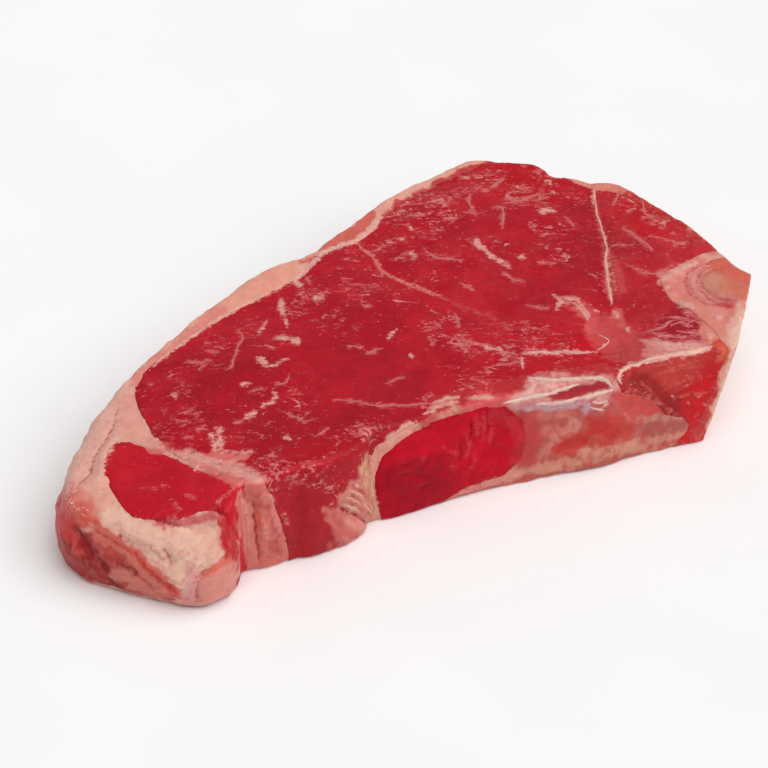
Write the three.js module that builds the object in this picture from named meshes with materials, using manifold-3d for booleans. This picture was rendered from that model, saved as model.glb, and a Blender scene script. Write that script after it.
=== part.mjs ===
// Raw bone-in strip steak, one thick slice, lying flat. Units are millimetres, +Z is up.
// The tail points along -X, the back fat faces +Y, and the sawn bone faces -Y.

import * as THREE from 'three';
import { mergeVertices } from 'three/addons/utils/BufferGeometryUtils.js';
import Module from 'manifold-3d';

const wasm = await Module();
wasm.setup();

// Driving dimensions
const THICKNESS = 32;         // a 1 1/4 inch cut, measured at the eye
const GAP = 0.3;              // clearance between neighbouring pieces
const MARROW_BACK = -44.6;    // y of the wall of bone behind the marrow
const GRISTLE_BACK = -43.6;   // y where the gristle ends
const BONE_DEEPEST = -30;     // y behind every part of the loin bone
const SAW_SLANT = [-10.4, -1.6];  // how far the chine saw cut wanders in x and y from top to foot

// The fall of the top towards the tail: where it starts along x, its length and its depth
const TAIL_FALL = { start: -58, length: 45, depth: 8 };
// The front lip of the tail falls again, towards the front and towards the tail
const LIP_FALL = { startY: -44, lengthY: 16, startX: -64, lengthX: 10, depth: 6 };
// The tail muscle lies in a hollow between banks of fat
const HOLLOW = { depth: 1.6, bank: 5 };
// The cut top swells between the seams and dips along them
const SWELL = { height: 1.1, reach: 14 };
const FURROW = { depth: 1.3, halfWidth: 3.2 };
// Slow unevenness left by the knife: height, waves per mm along x and y in radians, and start
const RIPPLES = [{ height: 0.45, x: 0.11, y: 0.07, start: 0 }, { height: 0.45, x: -0.05, y: 0.17, start: 1.3 }];

// Rounding of the upper and lower edge and bulge of the side, for firm cut edges and for soft fat
const FIRM = { topRound: 1.1, footRound: 0.9, belly: 0.5 };
const SOFT = { topRound: 6.5, footRound: 4.0, belly: 2.2 };
const FOOT_ANGLES = [0, 35, 65];        // degrees of turn of the lower rounding
const SIDE_SHARES = [0.3, 0.55];        // heights of the side's rings, as shares of the whole
const TOP_ANGLES = [75, 55, 30, 0];     // degrees of turn of the upper rounding, from the top down
const LAST_INSET = 1.15;                // inset of the wall above the rounding, in roundings

// Fineness, and how far the cutting tools reach past the meat
const GRID = 4.2;             // mesh size of the cut top
const CURVE_STEPS = 3;        // straight steps between two points of a curve
const REACH = 64;             // in y, to the front and the back
const FAR_RIGHT = 125;        // in x
const DEEP = 50;              // in z: up to here, and down to as far below the top
const FIELD = { left: -116, front: -66, width: 236, depth: 130 };   // what the cut top covers

// Edge of the top, anticlockwise from the tail notch: x, y and softness, from 0 on sawn bone to 1 on soft fat
const EDGE = [
  [-62.4, -50.2, 0.1], [-57, -51.6, 0.1], [-47, -51.6, 0.1], [-43, -53, 0.1], [-36.5, -53, 0.1],
  [-29.5, -52.5, 0.15], [-24.8, -50.6, 0.1], [-21.6, -46.6, 0], [-16, -48, 0], [-6, -48.3, 0],
  [8, -48.4, 0], [24, -50, 0], [40, -52.9, 0], [50, -54.8, 0], [56, -54.4, 0], [68, -55.2, 0],
  [80, -57, 0], [92, -59, 0], [112, -52, 0], [113, -36, 0], [109.4, -26, 0.1], [108.6, -13.5, 0.2],
  [106.8, -1.5, 0.2], [103, 14.8, 0.2], [98.8, 26.8, 0.2], [92.8, 34.2, 0.3], [86.6, 37.8, 0.1],
  [82.6, 40.4, 0], [82.4, 44, 0], [80.8, 47.8, 0], [75.5, 52.6, 0], [70.8, 57.8, 0.1], [64.6, 59.8, 0.2],
  [49.2, 56.8, 0.3], [33.6, 52.4, 0.35], [21.4, 48.6, 0.6], [9.4, 43.4, 0.7], [2.8, 39.6, 0.6],
  [-3.6, 38.4, 0.8], [-17, 37.4, 1], [-30.2, 31.2, 0.8], [-42.6, 24.4, 0.5], [-56, 16.4, 0.35],
  [-68.6, 10.8, 0.5], [-79, 5.6, 0.8], [-89.6, -2.8, 1], [-97.8, -12, 1], [-103.2, -20.4, 0.9],
  [-105.2, -27, 0.7], [-103.8, -33.4, 0.6], [-97.4, -42.4, 0.7], [-89.4, -51.2, 0.8], [-82, -58.2, 0.8],
  [-75.6, -59.8, 0.8], [-69.6, -58.4, 0.6], [-65.4, -54.4, 0.3],
];

// Seams on the top, each a chain of x, y; a third number moves the foot of the seam along x
const TAIL_SEAM = [
  [-50.5, -62, 8], [-53.6, -53, 7.5], [-57.4, -47.6, 6], [-59.6, -42, 3], [-63, -38.2], [-67.4, -34.6],
  [-70.9, -29], [-73.1, -21.9], [-72.6, -12.5], [-71.3, -2.5],
];
const BACK_SEAM = [
  [-69.2, 4.4], [-65.3, 7.8], [-59.6, 10.6], [-50, 14.4], [-40.2, 18.8], [-28.7, 23.2], [-18.1, 25.5],
  [-8.2, 27.8], [-1, 33.4], [5, 36.4], [15.5, 37.6],
];
const RIM_SEAM = [
  [73, 57.4], [66, 55.4], [58.9, 53.8], [46.9, 50.8], [35.6, 47.4], [27.2, 43.8], [21.6, 40],
  [16.4, 37.6],
];
const VEIN_SEAM = [
  [15.6, 35.4], [16.8, 28.9], [15.3, 18.6], [18.4, 10.5], [23.7, 4.6], [27.3, -3.7], [31.7, -10.2],
  [34.8, -16.5], [36.4, -25.7], [36, -32.4],
];
const DEEP_SEAM = [[37.6, -35.4], [42.7, -37.8], [53.1, -42.4], [58.6, -44.4]];
const TENDON_SEAM = [
  [61.4, -39.6], [62.5, -35.6], [65.8, -26.7], [70.1, -18], [75.3, -6.9], [80.6, 4.4], [85, 16.5],
  [89, 25.4], [93.5, 35],
];
const LOIN_END_SEAM = [[60, -44], [56, -49.6], [53.6, -55], [52.4, -REACH]];
const EDGE_FAT_SEAM = [
  [83, 44], [86.8, 34.4], [91, 29.6], [96, 24.4], [99.4, 14.4], [102.8, 3], [104.8, -9], [106.4, -18],
  [112, -20],
];
const TAIL_MUSCLE = [
  [-61.2, -47.6], [-67.1, -40.6], [-70.9, -32.4], [-76.7, -21.8], [-83.3, -14.8], [-89.8, -21.3],
  [-91.4, -30.6], [-91, -39.4], [-87.4, -45.4], [-80.3, -49.2], [-73, -51.6, 1], [-70, -55.4, 4.4],
  [-69.4, -REACH, 4.8], [-59, -REACH],
];
const CHINE = [
  [103, -15], [92.6, -18.3], [86, -20.5], [83.8, -26], [83.5, -33], [85.2, -37.8], [86, -45], [86.4, -53],
  [86.6, -REACH],
];
const SPINOUS = [
  [114, -18], [105.4, -19], [98.4, -22.4], [94.8, -28.4], [96.6, -35.6], [102.4, -41.4], [112, -44],
];
const BONE_BACK = [
  [-30, -43.4], [-20, -42.8], [-8, -41.8], [6, -41.4], [20, -42.4], [31, -43.6], [41, -46.6], [53, -48.8],
  [64, -50.2], [80, -51.4],
];

// Front view of the bone, its red marrow and the gristle beside it, each a chain of x, z
const BONE_FRONT = [
  [72.4, -6], [71.6, 0.6], [75.4, 5.4], [76, 8], [73.6, 11.2], [68.2, 13.4], [66, 17.1], [63.3, 20.3],
  [58.8, 23], [53, 25], [51.4, 30], [51, 38], [4, 38], [-0.6, 32.6], [-8, 31.4], [-14, 29.8], [-19, 27],
  [-22.8, 22.8], [-24.8, 16], [-24, 8], [-20.6, 1], [-20, -6],
];
const MARROW_FRONT = [
  [0.6, -6], [1.4, 1.4], [6, 3.6], [14, 4.4], [20, 5], [24, 8.4], [25.6, 16], [24.6, 23.4], [20, 28.6],
  [12, 30.2], [-2, 30.2], [-11, 28.4], [-17.4, 23.6], [-19.8, 16], [-19.2, 7], [-17.4, 1], [-17, -6],
];
const GRISTLE_FRONT = [
  [-19, -6], [-19, 22], [-23, 25], [-26.4, 23.6], [-29, 17.6], [-31.4, 12], [-35.6, 8.6], [-38.4, 4],
  [-38.8, -6],
];

// The sawn chine face: its top edge runs from the front corner to the back corner
const CHINE_FRONT = [90.4, -55.8];
const CHINE_BACK = [108.6, -32.4];

const clamp01 = (t) => Math.min(1, Math.max(0, t));
const ease = (t) => clamp01(t) ** 2 * (3 - 2 * clamp01(t));
const mix = (a, b, t) => a + (b - a) * t;

// Points of a smooth curve through a chain of points, each of two or three numbers
function curve(chain, closed = false) {
  const points = chain.map(([x, y, third = 0]) => new THREE.Vector3(x, y, third));
  const spline = new THREE.CatmullRomCurve3(points, closed, 'centripetal');
  const spans = closed ? points.length : points.length - 1;
  const steps = spans * CURVE_STEPS;
  const samples = spline.getPoints(steps).map((p) => p.toArray());
  return closed ? samples.slice(0, -1) : samples;
}

// Geometry of a list of points and a list of triangles between them
function mesh(points, triangles) {
  const geometry = new THREE.BufferGeometry();
  geometry.setAttribute('position', new THREE.Float32BufferAttribute(points.flat(), 3));
  geometry.setIndex(triangles.flat());
  return geometry;
}

function distanceToChain(x, y, chain) {
  let best = Infinity;
  for (let i = 1; i < chain.length; i++) {
    const [ax, ay] = chain[i - 1];
    const [bx, by] = chain[i];
    const length2 = (bx - ax) ** 2 + (by - ay) ** 2;
    const t = clamp01(((x - ax) * (bx - ax) + (y - ay) * (by - ay)) / length2);
    best = Math.min(best, Math.hypot(x - mix(ax, bx, t), y - mix(ay, by, t)));
  }
  return best;
}

function inside(x, y, loop) {
  let odd = false;
  for (let i = 0, j = loop.length - 1; i < loop.length; j = i++) {
    const [ax, ay] = loop[i];
    const [bx, by] = loop[j];
    if ((ay > y) !== (by > y) && x < ax + ((y - ay) * (bx - ax)) / (by - ay)) odd = !odd;
  }
  return odd;
}

const tailMuscleLoop = curve(TAIL_MUSCLE);
const seams = [VEIN_SEAM, TENDON_SEAM, TAIL_SEAM, BACK_SEAM, RIM_SEAM, DEEP_SEAM].map((chain) => curve(chain));

// Height of the cut top: thinner at the tail, swollen muscles, furrows along the seams
function topHeight(x, y) {
  const toTail = TAIL_FALL.depth * ease((TAIL_FALL.start - x) / TAIL_FALL.length);
  const toFront = ease((LIP_FALL.startY - y) / LIP_FALL.lengthY);
  const lip = LIP_FALL.depth * toFront * ease((LIP_FALL.startX - x) / LIP_FALL.lengthX);
  const fromBank = distanceToChain(x, y, tailMuscleLoop);
  const hollow = inside(x, y, tailMuscleLoop) ? HOLLOW.depth * ease(fromBank / HOLLOW.bank) : 0;
  const near = Math.min(...seams.map((line) => distanceToChain(x, y, line)));
  const swell = SWELL.height * ease(near / SWELL.reach);
  const furrow = FURROW.depth * Math.exp(-((near / FURROW.halfWidth) ** 2));
  let ripple = 0;
  for (const wave of RIPPLES) ripple += wave.height * Math.sin(x * wave.x + y * wave.y + wave.start);
  return THICKNESS - toTail - lip - hollow + swell - furrow + ripple;
}

// Solid of a closed geometry
function solid(geometry) {
  geometry.deleteAttribute('normal');
  geometry.deleteAttribute('uv');
  const merged = mergeVertices(geometry);
  return new wasm.Manifold(new wasm.Mesh({
    numProp: 3,
    vertProperties: new Float32Array(merged.attributes.position.array),
    triVerts: new Uint32Array(merged.index.array),
  }));
}

// Closed solid between rings of equal count, from the foot up, each ring anticlockwise; place turns each point
function loft(rings, place = (point) => point) {
  const count = rings[0].length;
  const triangles = [];
  for (let r = 1; r < rings.length; r++) {
    for (let i = 0; i < count; i++) {
      const a = (r - 1) * count + i;
      const b = (r - 1) * count + ((i + 1) % count);
      triangles.push([a, b, b + count], [a, b + count, a + count]);
    }
  }
  const cap = (ring) => THREE.ShapeUtils.triangulateShape(ring.map(([x, y]) => new THREE.Vector2(x, y)), []);
  for (const [a, b, c] of cap(rings[0])) triangles.push([c, b, a]);
  const last = (rings.length - 1) * count;
  for (const [a, b, c] of cap(rings[rings.length - 1])) triangles.push([a + last, b + last, c + last]);
  return solid(mesh(rings.flat().map(place), triangles));
}

// Moves each point of an anticlockwise loop outwards
function grow(loop, distance) {
  return loop.map(([x, y, ...rest], i) => {
    const before = loop[(i + loop.length - 1) % loop.length];
    const after = loop[(i + 1) % loop.length];
    const first = new THREE.Vector2(x - before[0], y - before[1]).normalize();
    const second = new THREE.Vector2(after[0] - x, after[1] - y).normalize();
    const along = first.clone().add(second).normalize();
    const stretch = 1 / Math.max(0.4, Math.abs(along.dot(first)));
    return [x + along.y * distance * stretch, y - along.x * distance * stretch, ...rest];
  });
}

// Upright cutting tool of a plan outline; the foot of each point moves by its third number and by the slant
function uprightTool(loop, distance = 0, slant = [0, 0]) {
  const grown = grow(loop, distance);
  const level = (z) => {
    const share = 1 - z / THICKNESS;
    return grown.map(([x, y, dx = 0]) => [x + (dx + slant[0]) * share, y + slant[1] * share, z]);
  };
  return loft([level(THICKNESS - DEEP), level(DEEP)]);
}

// Cutting tool of a front outline in x and z, running back from the front to a given y
function frontTool(loop, distance, back) {
  const grown = grow(loop, distance);
  const level = (depth) => grown.map(([x, z]) => [x, z, depth]);
  return loft([level(-back - distance), level(REACH)], ([x, z, depth]) => [x, -depth, z]);
}

// The block on the far side of the saw cut, with one face in the plane of the cut
function blockBeyondChine() {
  const corner = new THREE.Vector3(...CHINE_FRONT, THICKNESS);
  const along = new THREE.Vector3(...CHINE_BACK, THICKNESS).sub(corner).normalize();
  const down = new THREE.Vector3(...SAW_SLANT, -THICKNESS).normalize();
  const out = new THREE.Vector3().crossVectors(down, along).normalize();
  const up = new THREE.Vector3().crossVectors(out, along);
  const block = new THREE.BoxGeometry(4 * REACH, 4 * REACH, 2 * DEEP);
  const place = new THREE.Matrix4().makeBasis(along, up, out).setPosition(corner.addScaledVector(out, DEEP));
  return solid(block.applyMatrix4(place));
}

// The whole slice: a rounded wall round the edge, cut off by the uneven top and the chine saw
function slice() {
  const edge = curve(EDGE, true);
  const outward = grow(edge, 1);
  const stations = edge.map(([x, y, softness], i) => {
    const soft = clamp01(softness);
    return {
      x, y, out: [outward[i][0] - x, outward[i][1] - y], height: topHeight(x, y),
      topRound: mix(FIRM.topRound, SOFT.topRound, soft),
      footRound: mix(FIRM.footRound, SOFT.footRound, soft),
      belly: mix(FIRM.belly, SOFT.belly, soft),
    };
  });
  const ring = (offsetAndHeight) => stations.map((station) => {
    const [offset, z] = offsetAndHeight(station);
    return [station.x + station.out[0] * offset, station.y + station.out[1] * offset, z];
  });
  const sin = (angle) => Math.sin(THREE.MathUtils.degToRad(angle));
  const cos = (angle) => Math.cos(THREE.MathUtils.degToRad(angle));
  const footRing = (angle) => ring((s) => [-s.footRound * (1 - sin(angle)), s.footRound * (1 - cos(angle))]);
  const sideRing = (share) => ring((s) => [s.belly * Math.sin(Math.PI * share), s.height * share]);
  const topRing = (angle) => ring((s) => [-s.topRound * (1 - cos(angle)), s.height - s.topRound * (1 - sin(angle))]);
  const rings = [...FOOT_ANGLES.map(footRing), ...SIDE_SHARES.map(sideRing)];
  rings.push(...TOP_ANGLES.map(topRing).reverse());
  rings.push(ring((s) => [-s.topRound * LAST_INSET, s.height + 1]));
  rings.push(ring((s) => [-s.topRound * LAST_INSET, DEEP]));
  return loft(rings).intersect(underTheTop()).subtract(blockBeyondChine());
}

// Everything below the uneven top
function underTheTop() {
  const columns = Math.ceil(FIELD.width / GRID);
  const rows = Math.ceil(FIELD.depth / GRID);
  const at = (row, column) => row * (columns + 1) + column;
  const top = [];
  for (let row = 0; row <= rows; row++) {
    for (let column = 0; column <= columns; column++) {
      const x = FIELD.left + column * GRID;
      const y = FIELD.front + row * GRID;
      top.push([x, y, topHeight(x, y)]);
    }
  }
  const floor = top.map(([x, y]) => [x, y, -DEEP]);
  const triangles = [];
  for (let row = 0; row < rows; row++) {
    for (let column = 0; column < columns; column++) {
      const [a, b, c, d] = [at(row, column), at(row, column + 1), at(row + 1, column + 1), at(row + 1, column)];
      triangles.push([a, b, c], [a, c, d]);
      triangles.push([c, b, a].map((i) => i + top.length), [d, c, a].map((i) => i + top.length));
    }
  }
  const border = [];
  for (let column = 0; column < columns; column++) border.push(at(0, column));
  for (let row = 0; row < rows; row++) border.push(at(row, columns));
  for (let column = columns; column > 0; column--) border.push(at(rows, column));
  for (let row = rows; row > 0; row--) border.push(at(row, 0));
  border.forEach((a, i) => {
    const b = border[(i + 1) % border.length];
    triangles.push([a + top.length, b + top.length, b], [a + top.length, b, a]);
  });
  return solid(mesh([...top, ...floor], triangles));
}

// Plan outlines of the pieces, anticlockwise, run out past the meat where nothing borders them
const chineLoop = [...curve(CHINE), [FAR_RIGHT, -REACH], [FAR_RIGHT, -15]];
const spinousLoop = [...curve(SPINOUS), [FAR_RIGHT, -44], [FAR_RIGHT, -18]];
const bonePlanLoop = [[-30, -REACH], [80, -REACH], ...curve(BONE_BACK).reverse()];
const edgeFatLoop = [...curve(EDGE_FAT_SEAM), [FAR_RIGHT, -20], [FAR_RIGHT, REACH], [83, REACH]];
const glutealLoop = [
  ...curve(VEIN_SEAM), ...curve(DEEP_SEAM), ...curve(TENDON_SEAM), [96, REACH], [74, REACH], ...curve(RIM_SEAM),
];
const spinalLoop = [
  ...curve(LOIN_END_SEAM), [FAR_RIGHT, -REACH], [FAR_RIGHT, 50], [80, 50], [60, 20], [50, -30], [58, -41],
];
const eyeLoop = [...curve([...TAIL_SEAM, ...BACK_SEAM]).reverse(), [-42, -REACH, 8], [70, -REACH], [70, 37.6]];

let rest = slice();
const pieces = {};

// Takes a piece out of the rest of the slice, or out of another piece, and leaves the gap round it
function takeOut(name, tool, from = null) {
  const source = from ? pieces[from] : rest;
  pieces[name] = source.intersect(tool(0));
  const remainder = source.subtract(tool(GAP));
  if (from) pieces[from] = remainder;
  else rest = remainder;
}

takeOut('tail_muscle', (gap) => uprightTool(tailMuscleLoop, gap));
takeOut('chine_cartilage', (gap) => uprightTool(chineLoop, gap, SAW_SLANT));
takeOut('spinous_bone', (gap) => uprightTool(spinousLoop, gap, SAW_SLANT), 'chine_cartilage');
takeOut('loin_bone', (gap) => uprightTool(bonePlanLoop, gap).intersect(frontTool(BONE_FRONT, gap, BONE_DEEPEST)));
takeOut('bone_marrow', (gap) => frontTool(MARROW_FRONT, gap, MARROW_BACK), 'loin_bone');
takeOut('gristle', (gap) => frontTool(GRISTLE_FRONT, gap, GRISTLE_BACK));
takeOut('edge_fat', (gap) => uprightTool(edgeFatLoop, gap));
takeOut('gluteal_muscle', (gap) => uprightTool(glutealLoop, gap));
takeOut('spinal_muscle', (gap) => uprightTool(spinalLoop, gap));
takeOut('eye_muscle', (gap) => uprightTool(eyeLoop, gap));
pieces.fat_cap = rest;

const COLOURS = {
  eye_muscle: 0xae2030,
  gluteal_muscle: 0xac2432,
  spinal_muscle: 0xb52b34,
  tail_muscle: 0xb71f2f,
  fat_cap: 0xdeae9a,
  edge_fat: 0xd98a70,
  loin_bone: 0xb6786c,
  bone_marrow: 0xb81b2a,
  spinous_bone: 0xd4745f,
  chine_cartilage: 0xcb7b6a,
  gristle: 0xc7816a,
};
const ROUGHNESS = 0.42;       // wet, freshly cut

// The origin is the middle of the whole slice's box, on the surface it lies on
const box = new THREE.Box3();
for (const piece of Object.values(pieces)) {
  const { min, max } = piece.boundingBox();
  box.expandByPoint(new THREE.Vector3(...min)).expandByPoint(new THREE.Vector3(...max));
}
const middle = box.getCenter(new THREE.Vector3());

const group = new THREE.Group();
for (const [name, piece] of Object.entries(pieces)) {
  const { vertProperties, triVerts } = piece.getMesh();
  const geometry = new THREE.BufferGeometry();
  geometry.setAttribute('position', new THREE.Float32BufferAttribute(vertProperties, 3));
  geometry.setIndex(Array.from(triVerts));
  const material = new THREE.MeshStandardMaterial({ color: COLOURS[name], roughness: ROUGHNESS, metalness: 0 });
  const node = new THREE.Mesh(geometry, material);
  node.name = name;
  node.position.set(-middle.x, -middle.y, 0);
  group.add(node);
}

export default group;
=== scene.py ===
"""A raw bone-in strip steak on a pale floor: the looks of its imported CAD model.

Lengths are in mm, and Blender's own are in metres.
"""

import math
from collections import namedtuple

import bmesh
import bpy
import numpy as np
from mathutils import Matrix, Vector
from mathutils.bvhtree import BVHTree


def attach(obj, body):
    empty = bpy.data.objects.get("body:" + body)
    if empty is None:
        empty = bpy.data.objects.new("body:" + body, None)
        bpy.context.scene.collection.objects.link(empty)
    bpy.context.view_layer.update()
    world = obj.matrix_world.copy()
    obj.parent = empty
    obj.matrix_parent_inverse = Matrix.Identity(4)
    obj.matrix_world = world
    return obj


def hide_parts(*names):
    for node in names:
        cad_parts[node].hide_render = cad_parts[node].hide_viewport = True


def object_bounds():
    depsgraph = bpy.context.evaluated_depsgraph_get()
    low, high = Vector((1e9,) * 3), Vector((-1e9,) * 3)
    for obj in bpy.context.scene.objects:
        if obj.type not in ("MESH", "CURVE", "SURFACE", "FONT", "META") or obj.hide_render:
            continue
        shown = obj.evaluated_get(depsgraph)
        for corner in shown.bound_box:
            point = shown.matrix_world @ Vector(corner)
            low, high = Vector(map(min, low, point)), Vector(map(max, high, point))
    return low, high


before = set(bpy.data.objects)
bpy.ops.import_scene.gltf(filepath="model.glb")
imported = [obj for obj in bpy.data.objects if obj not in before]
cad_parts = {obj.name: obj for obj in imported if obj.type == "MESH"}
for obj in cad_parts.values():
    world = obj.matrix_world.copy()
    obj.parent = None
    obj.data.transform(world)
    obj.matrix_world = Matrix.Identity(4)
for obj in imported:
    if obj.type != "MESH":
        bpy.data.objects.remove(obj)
cad_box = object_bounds()

MM = 0.001

# The photograph's frame and the camera that matches it
PHOTO_SIDE = 768
SENSOR = 36.0
LENS = 170.0
AZIMUTH, ELEVATION, DISTANCE = -26.5, 38.0, 1040.0
TARGET = np.array([-0.9, -9.5, 16.0])

# Fineness of the skins, how they meet, and how strokes are drawn on them
VOXEL = 0.55            # mesh size
VOXELS = {"eye_muscle": 0.58, "fat_cap": 0.57}      # of the largest pieces
STRAND_STEP = 1.6       # pixels between a strand's rings
STRAND_SIDES = 8
STRAND_WIDTH = 0.8      # its half width, as a share of its stroke's
FAR = 3.0               # strokes are measured up to this distance
WOBBLE = 1.0            # how unsteady the strokes are, in pixels
SMOOTHING = 3           # rounds of smoothing after the remesh
CREASE_DEPTH = 0.3      # of the folds in the sides of the fat
OVERLAP = 0.7           # how far a piece reaches past the middle of the gap to its neighbour
GAP_REACH = 1.4         # a wall with a neighbour nearer than this closes its gap
CUT_LEVEL = 30.0        # usual height of the cut top, where the underside's pattern is read from
LEVELLING = 2.6         # width over which the top's facets are smoothed
GAP_FACING = 0.1        # a wall closes its gap where the cosine towards its neighbour is over this
GAP_FADE = 0.3          # and closes it fully where that is this much more
TOP_SLOPE = 0.3, 0.6    # upward part of a normal, from the walls to the top
SEEN_SLOPE = -0.1, 0.15     # part of a normal towards the camera, from hidden to seen
TAPER = -0.02, 0.2      # share of a stroke's length over which its ends thin out
TIP = 0.3               # half width of a stroke's ends, as a share of its middle's
RELIEF_SPREAD = 0.6     # how far a stroke's relief runs past its edge
FINE_BUMP = 0.12        # height of the finest bumps, which only the shading has
GLARE = 0.012           # share of the light that the wet surface mirrors


def linear(colour):
    """Scene-linear red, green and blue of an 8-bit screen colour."""
    c = np.asarray(colour, float) / 255
    return np.where(c <= 0.04045, c / 12.92, ((c + 0.055) / 1.055) ** 2.4)


def tint(colour):
    """Base colour that shows as a screen colour once the wet surface's faint glare is added."""
    return np.maximum(linear(colour) - GLARE, 0.001)


def ease(value, low=0.0, high=1.0):
    """Runs smoothly from 0 at low to 1 at high."""
    t = np.clip((value - low) / (high - low), 0, 1)
    return t * t * (3 - 2 * t)


# The camera's axes, and the place of each point in the photograph
def view_axes():
    turn, rise = math.radians(AZIMUTH), math.radians(ELEVATION)
    back = np.array([math.sin(turn) * math.cos(rise), -math.cos(turn) * math.cos(rise), math.sin(rise)])
    right = np.array([math.cos(turn), math.sin(turn), 0.0])
    return right, np.cross(back, right), back


RIGHT, UP, BACK = view_axes()
PIXELS_PER_MM = LENS / SENSOR * PHOTO_SIDE / DISTANCE


def in_photo(points):
    """Pixel coordinates of points, in the photograph's frame."""
    offset = points - (TARGET + BACK * DISTANCE)
    depth = -(offset @ BACK)
    scale = LENS / SENSOR * PHOTO_SIDE / depth
    return np.stack([PHOTO_SIDE / 2 + offset @ RIGHT * scale, PHOTO_SIDE / 2 - offset @ UP * scale], 1)


# Repeatable smooth noise
def lattice(ix, iy, iz, seed):
    """A random number from -1 to 1 for each whole-numbered point."""
    n = (ix * 374761393 + iy * 668265263 + iz * 2147483629 + seed * 1274126177) & 0xFFFFFFFF
    n = ((n ^ (n >> 13)) * 1274126177) & 0xFFFFFFFF
    n = ((n ^ (n >> 16)) * 668265263) & 0xFFFFFFFF
    return ((n >> 8) & 0xFFFF) / 32767.5 - 1


def noise(points, size, seed=0, octaves=1):
    """Smooth noise from about -1 to 1, with lumps of a size in mm, or of a size along each axis."""
    total = np.zeros(len(points))
    strength, fade = 1.0, 0.0
    p = points / np.asarray(size, float)
    for octave in range(octaves):
        cell = np.floor(p).astype(np.int64)
        t = p - cell
        t = t * t * t * (t * (t * 6 - 15) + 10)
        for corner in range(8):
            dx, dy, dz = corner & 1, corner >> 1 & 1, corner >> 2
            weight = (
                (t[:, 0] if dx else 1 - t[:, 0])
                * (t[:, 1] if dy else 1 - t[:, 1])
                * (t[:, 2] if dz else 1 - t[:, 2])
            )
            value = lattice(cell[:, 0] + dx, cell[:, 1] + dy, cell[:, 2] + dz, seed + octave)
            total += strength * weight * value
        fade += strength
        strength *= 0.5
        p = p * 2.03
    return total / fade * 1.5


# Screen colours of the tissues
LEAN = (176, 30, 43)
LEAN_TAIL = (186, 28, 43)
LEAN_RIGHT = (180, 38, 48)
MARROW = (174, 12, 44)
MARROW_BRIGHT = (190, 8, 46)
CREAM = (226, 180, 158)
FAT_CREAM = (224, 176, 156)
FAT_PALE = (224, 160, 146)
FAT_PINK = (212, 120, 112)
FAT_ORANGE = (214, 122, 98)
PALE = (222, 158, 150)
WHITE = (234, 196, 184)
ROSE = (208, 108, 108)
SALMON = (198, 76, 78)
HAZE = (196, 66, 72)
DARK = (118, 18, 26)
BONE = (186, 92, 84)
BONE_CREAM = (206, 146, 124)
BLUE = (190, 152, 160)
CARTILAGE = (205, 128, 112)
CARTILAGE_GREY = (200, 142, 120)
GRISTLE = (202, 130, 112)
CREASE = (196, 92, 84)

# What each piece is made of: colour and second colour of its ground, material slot, share of marbling,
# how far its top stands above its neighbours', and the height of its fine and coarse relief in mm
Tissue = namedtuple("Tissue", "colour second slot marbling lift grain lumps")
TISSUES = {
    "eye_muscle": Tissue(LEAN, (184, 36, 48), "lean", 0.5, 0.0, 0.06, 0.08),
    "gluteal_muscle": Tissue(LEAN, (182, 40, 50), "lean", 0.5, 0.02, 0.06, 0.1),
    "spinal_muscle": Tissue(LEAN_RIGHT, (190, 52, 58), "lean", 0.45, 0.0, 0.08, 0.16),
    "tail_muscle": Tissue(LEAN_TAIL, (192, 36, 48), "tail_lean", 0.15, 0.03, 0.05, 0.1),
    "fat_cap": Tissue(FAT_CREAM, FAT_PALE, "fat", 0.0, 0.07, 0.04, 0.4),
    "edge_fat": Tissue(FAT_ORANGE, FAT_PINK, "fat", 0.0, 0.05, 0.06, 0.25),
    "loin_bone": Tissue(BONE, BONE_CREAM, "bone", 0.0, 0.05, 0.06, 0.2),
    "bone_marrow": Tissue(MARROW, MARROW_BRIGHT, "marrow", 0.0, 0.0, 0.04, 0.12),
    "spinous_bone": Tissue(CARTILAGE, CARTILAGE_GREY, "cartilage", 0.0, 0.06, 0.04, 0.1),
    "chine_cartilage": Tissue(FAT_PINK, FAT_PALE, "fat", 0.0, 0.04, 0.08, 0.25),
    "gristle": Tissue(GRISTLE, (212, 150, 130), "gristle", 0.0, 0.05, 0.1, 0.4),
}

# Crisp lines and patches: side they lie on, colour, half width, softness and relief in mm, a chain of
# pixels in the photograph's frame, and the height of the strand laid on it, if there is one
Stroke = namedtuple("Stroke", "side colour radius soft relief chain strand")


def strokes(side, colour, soft, relief, *chains):
    """Several strokes alike; each is a half width in mm and a chain of pixels."""
    return [Stroke(side, colour, chain[0], soft, relief, chain[1:], 0.0) for chain in chains]


def strands(side, colour, soft, height, *chains):
    """Strokes with a strand of fat or sinew on each, which stands out of the surface by a height in mm."""
    return [Stroke(side, colour, chain[0], soft, 0.0, chain[1:], height) for chain in chains]


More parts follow.
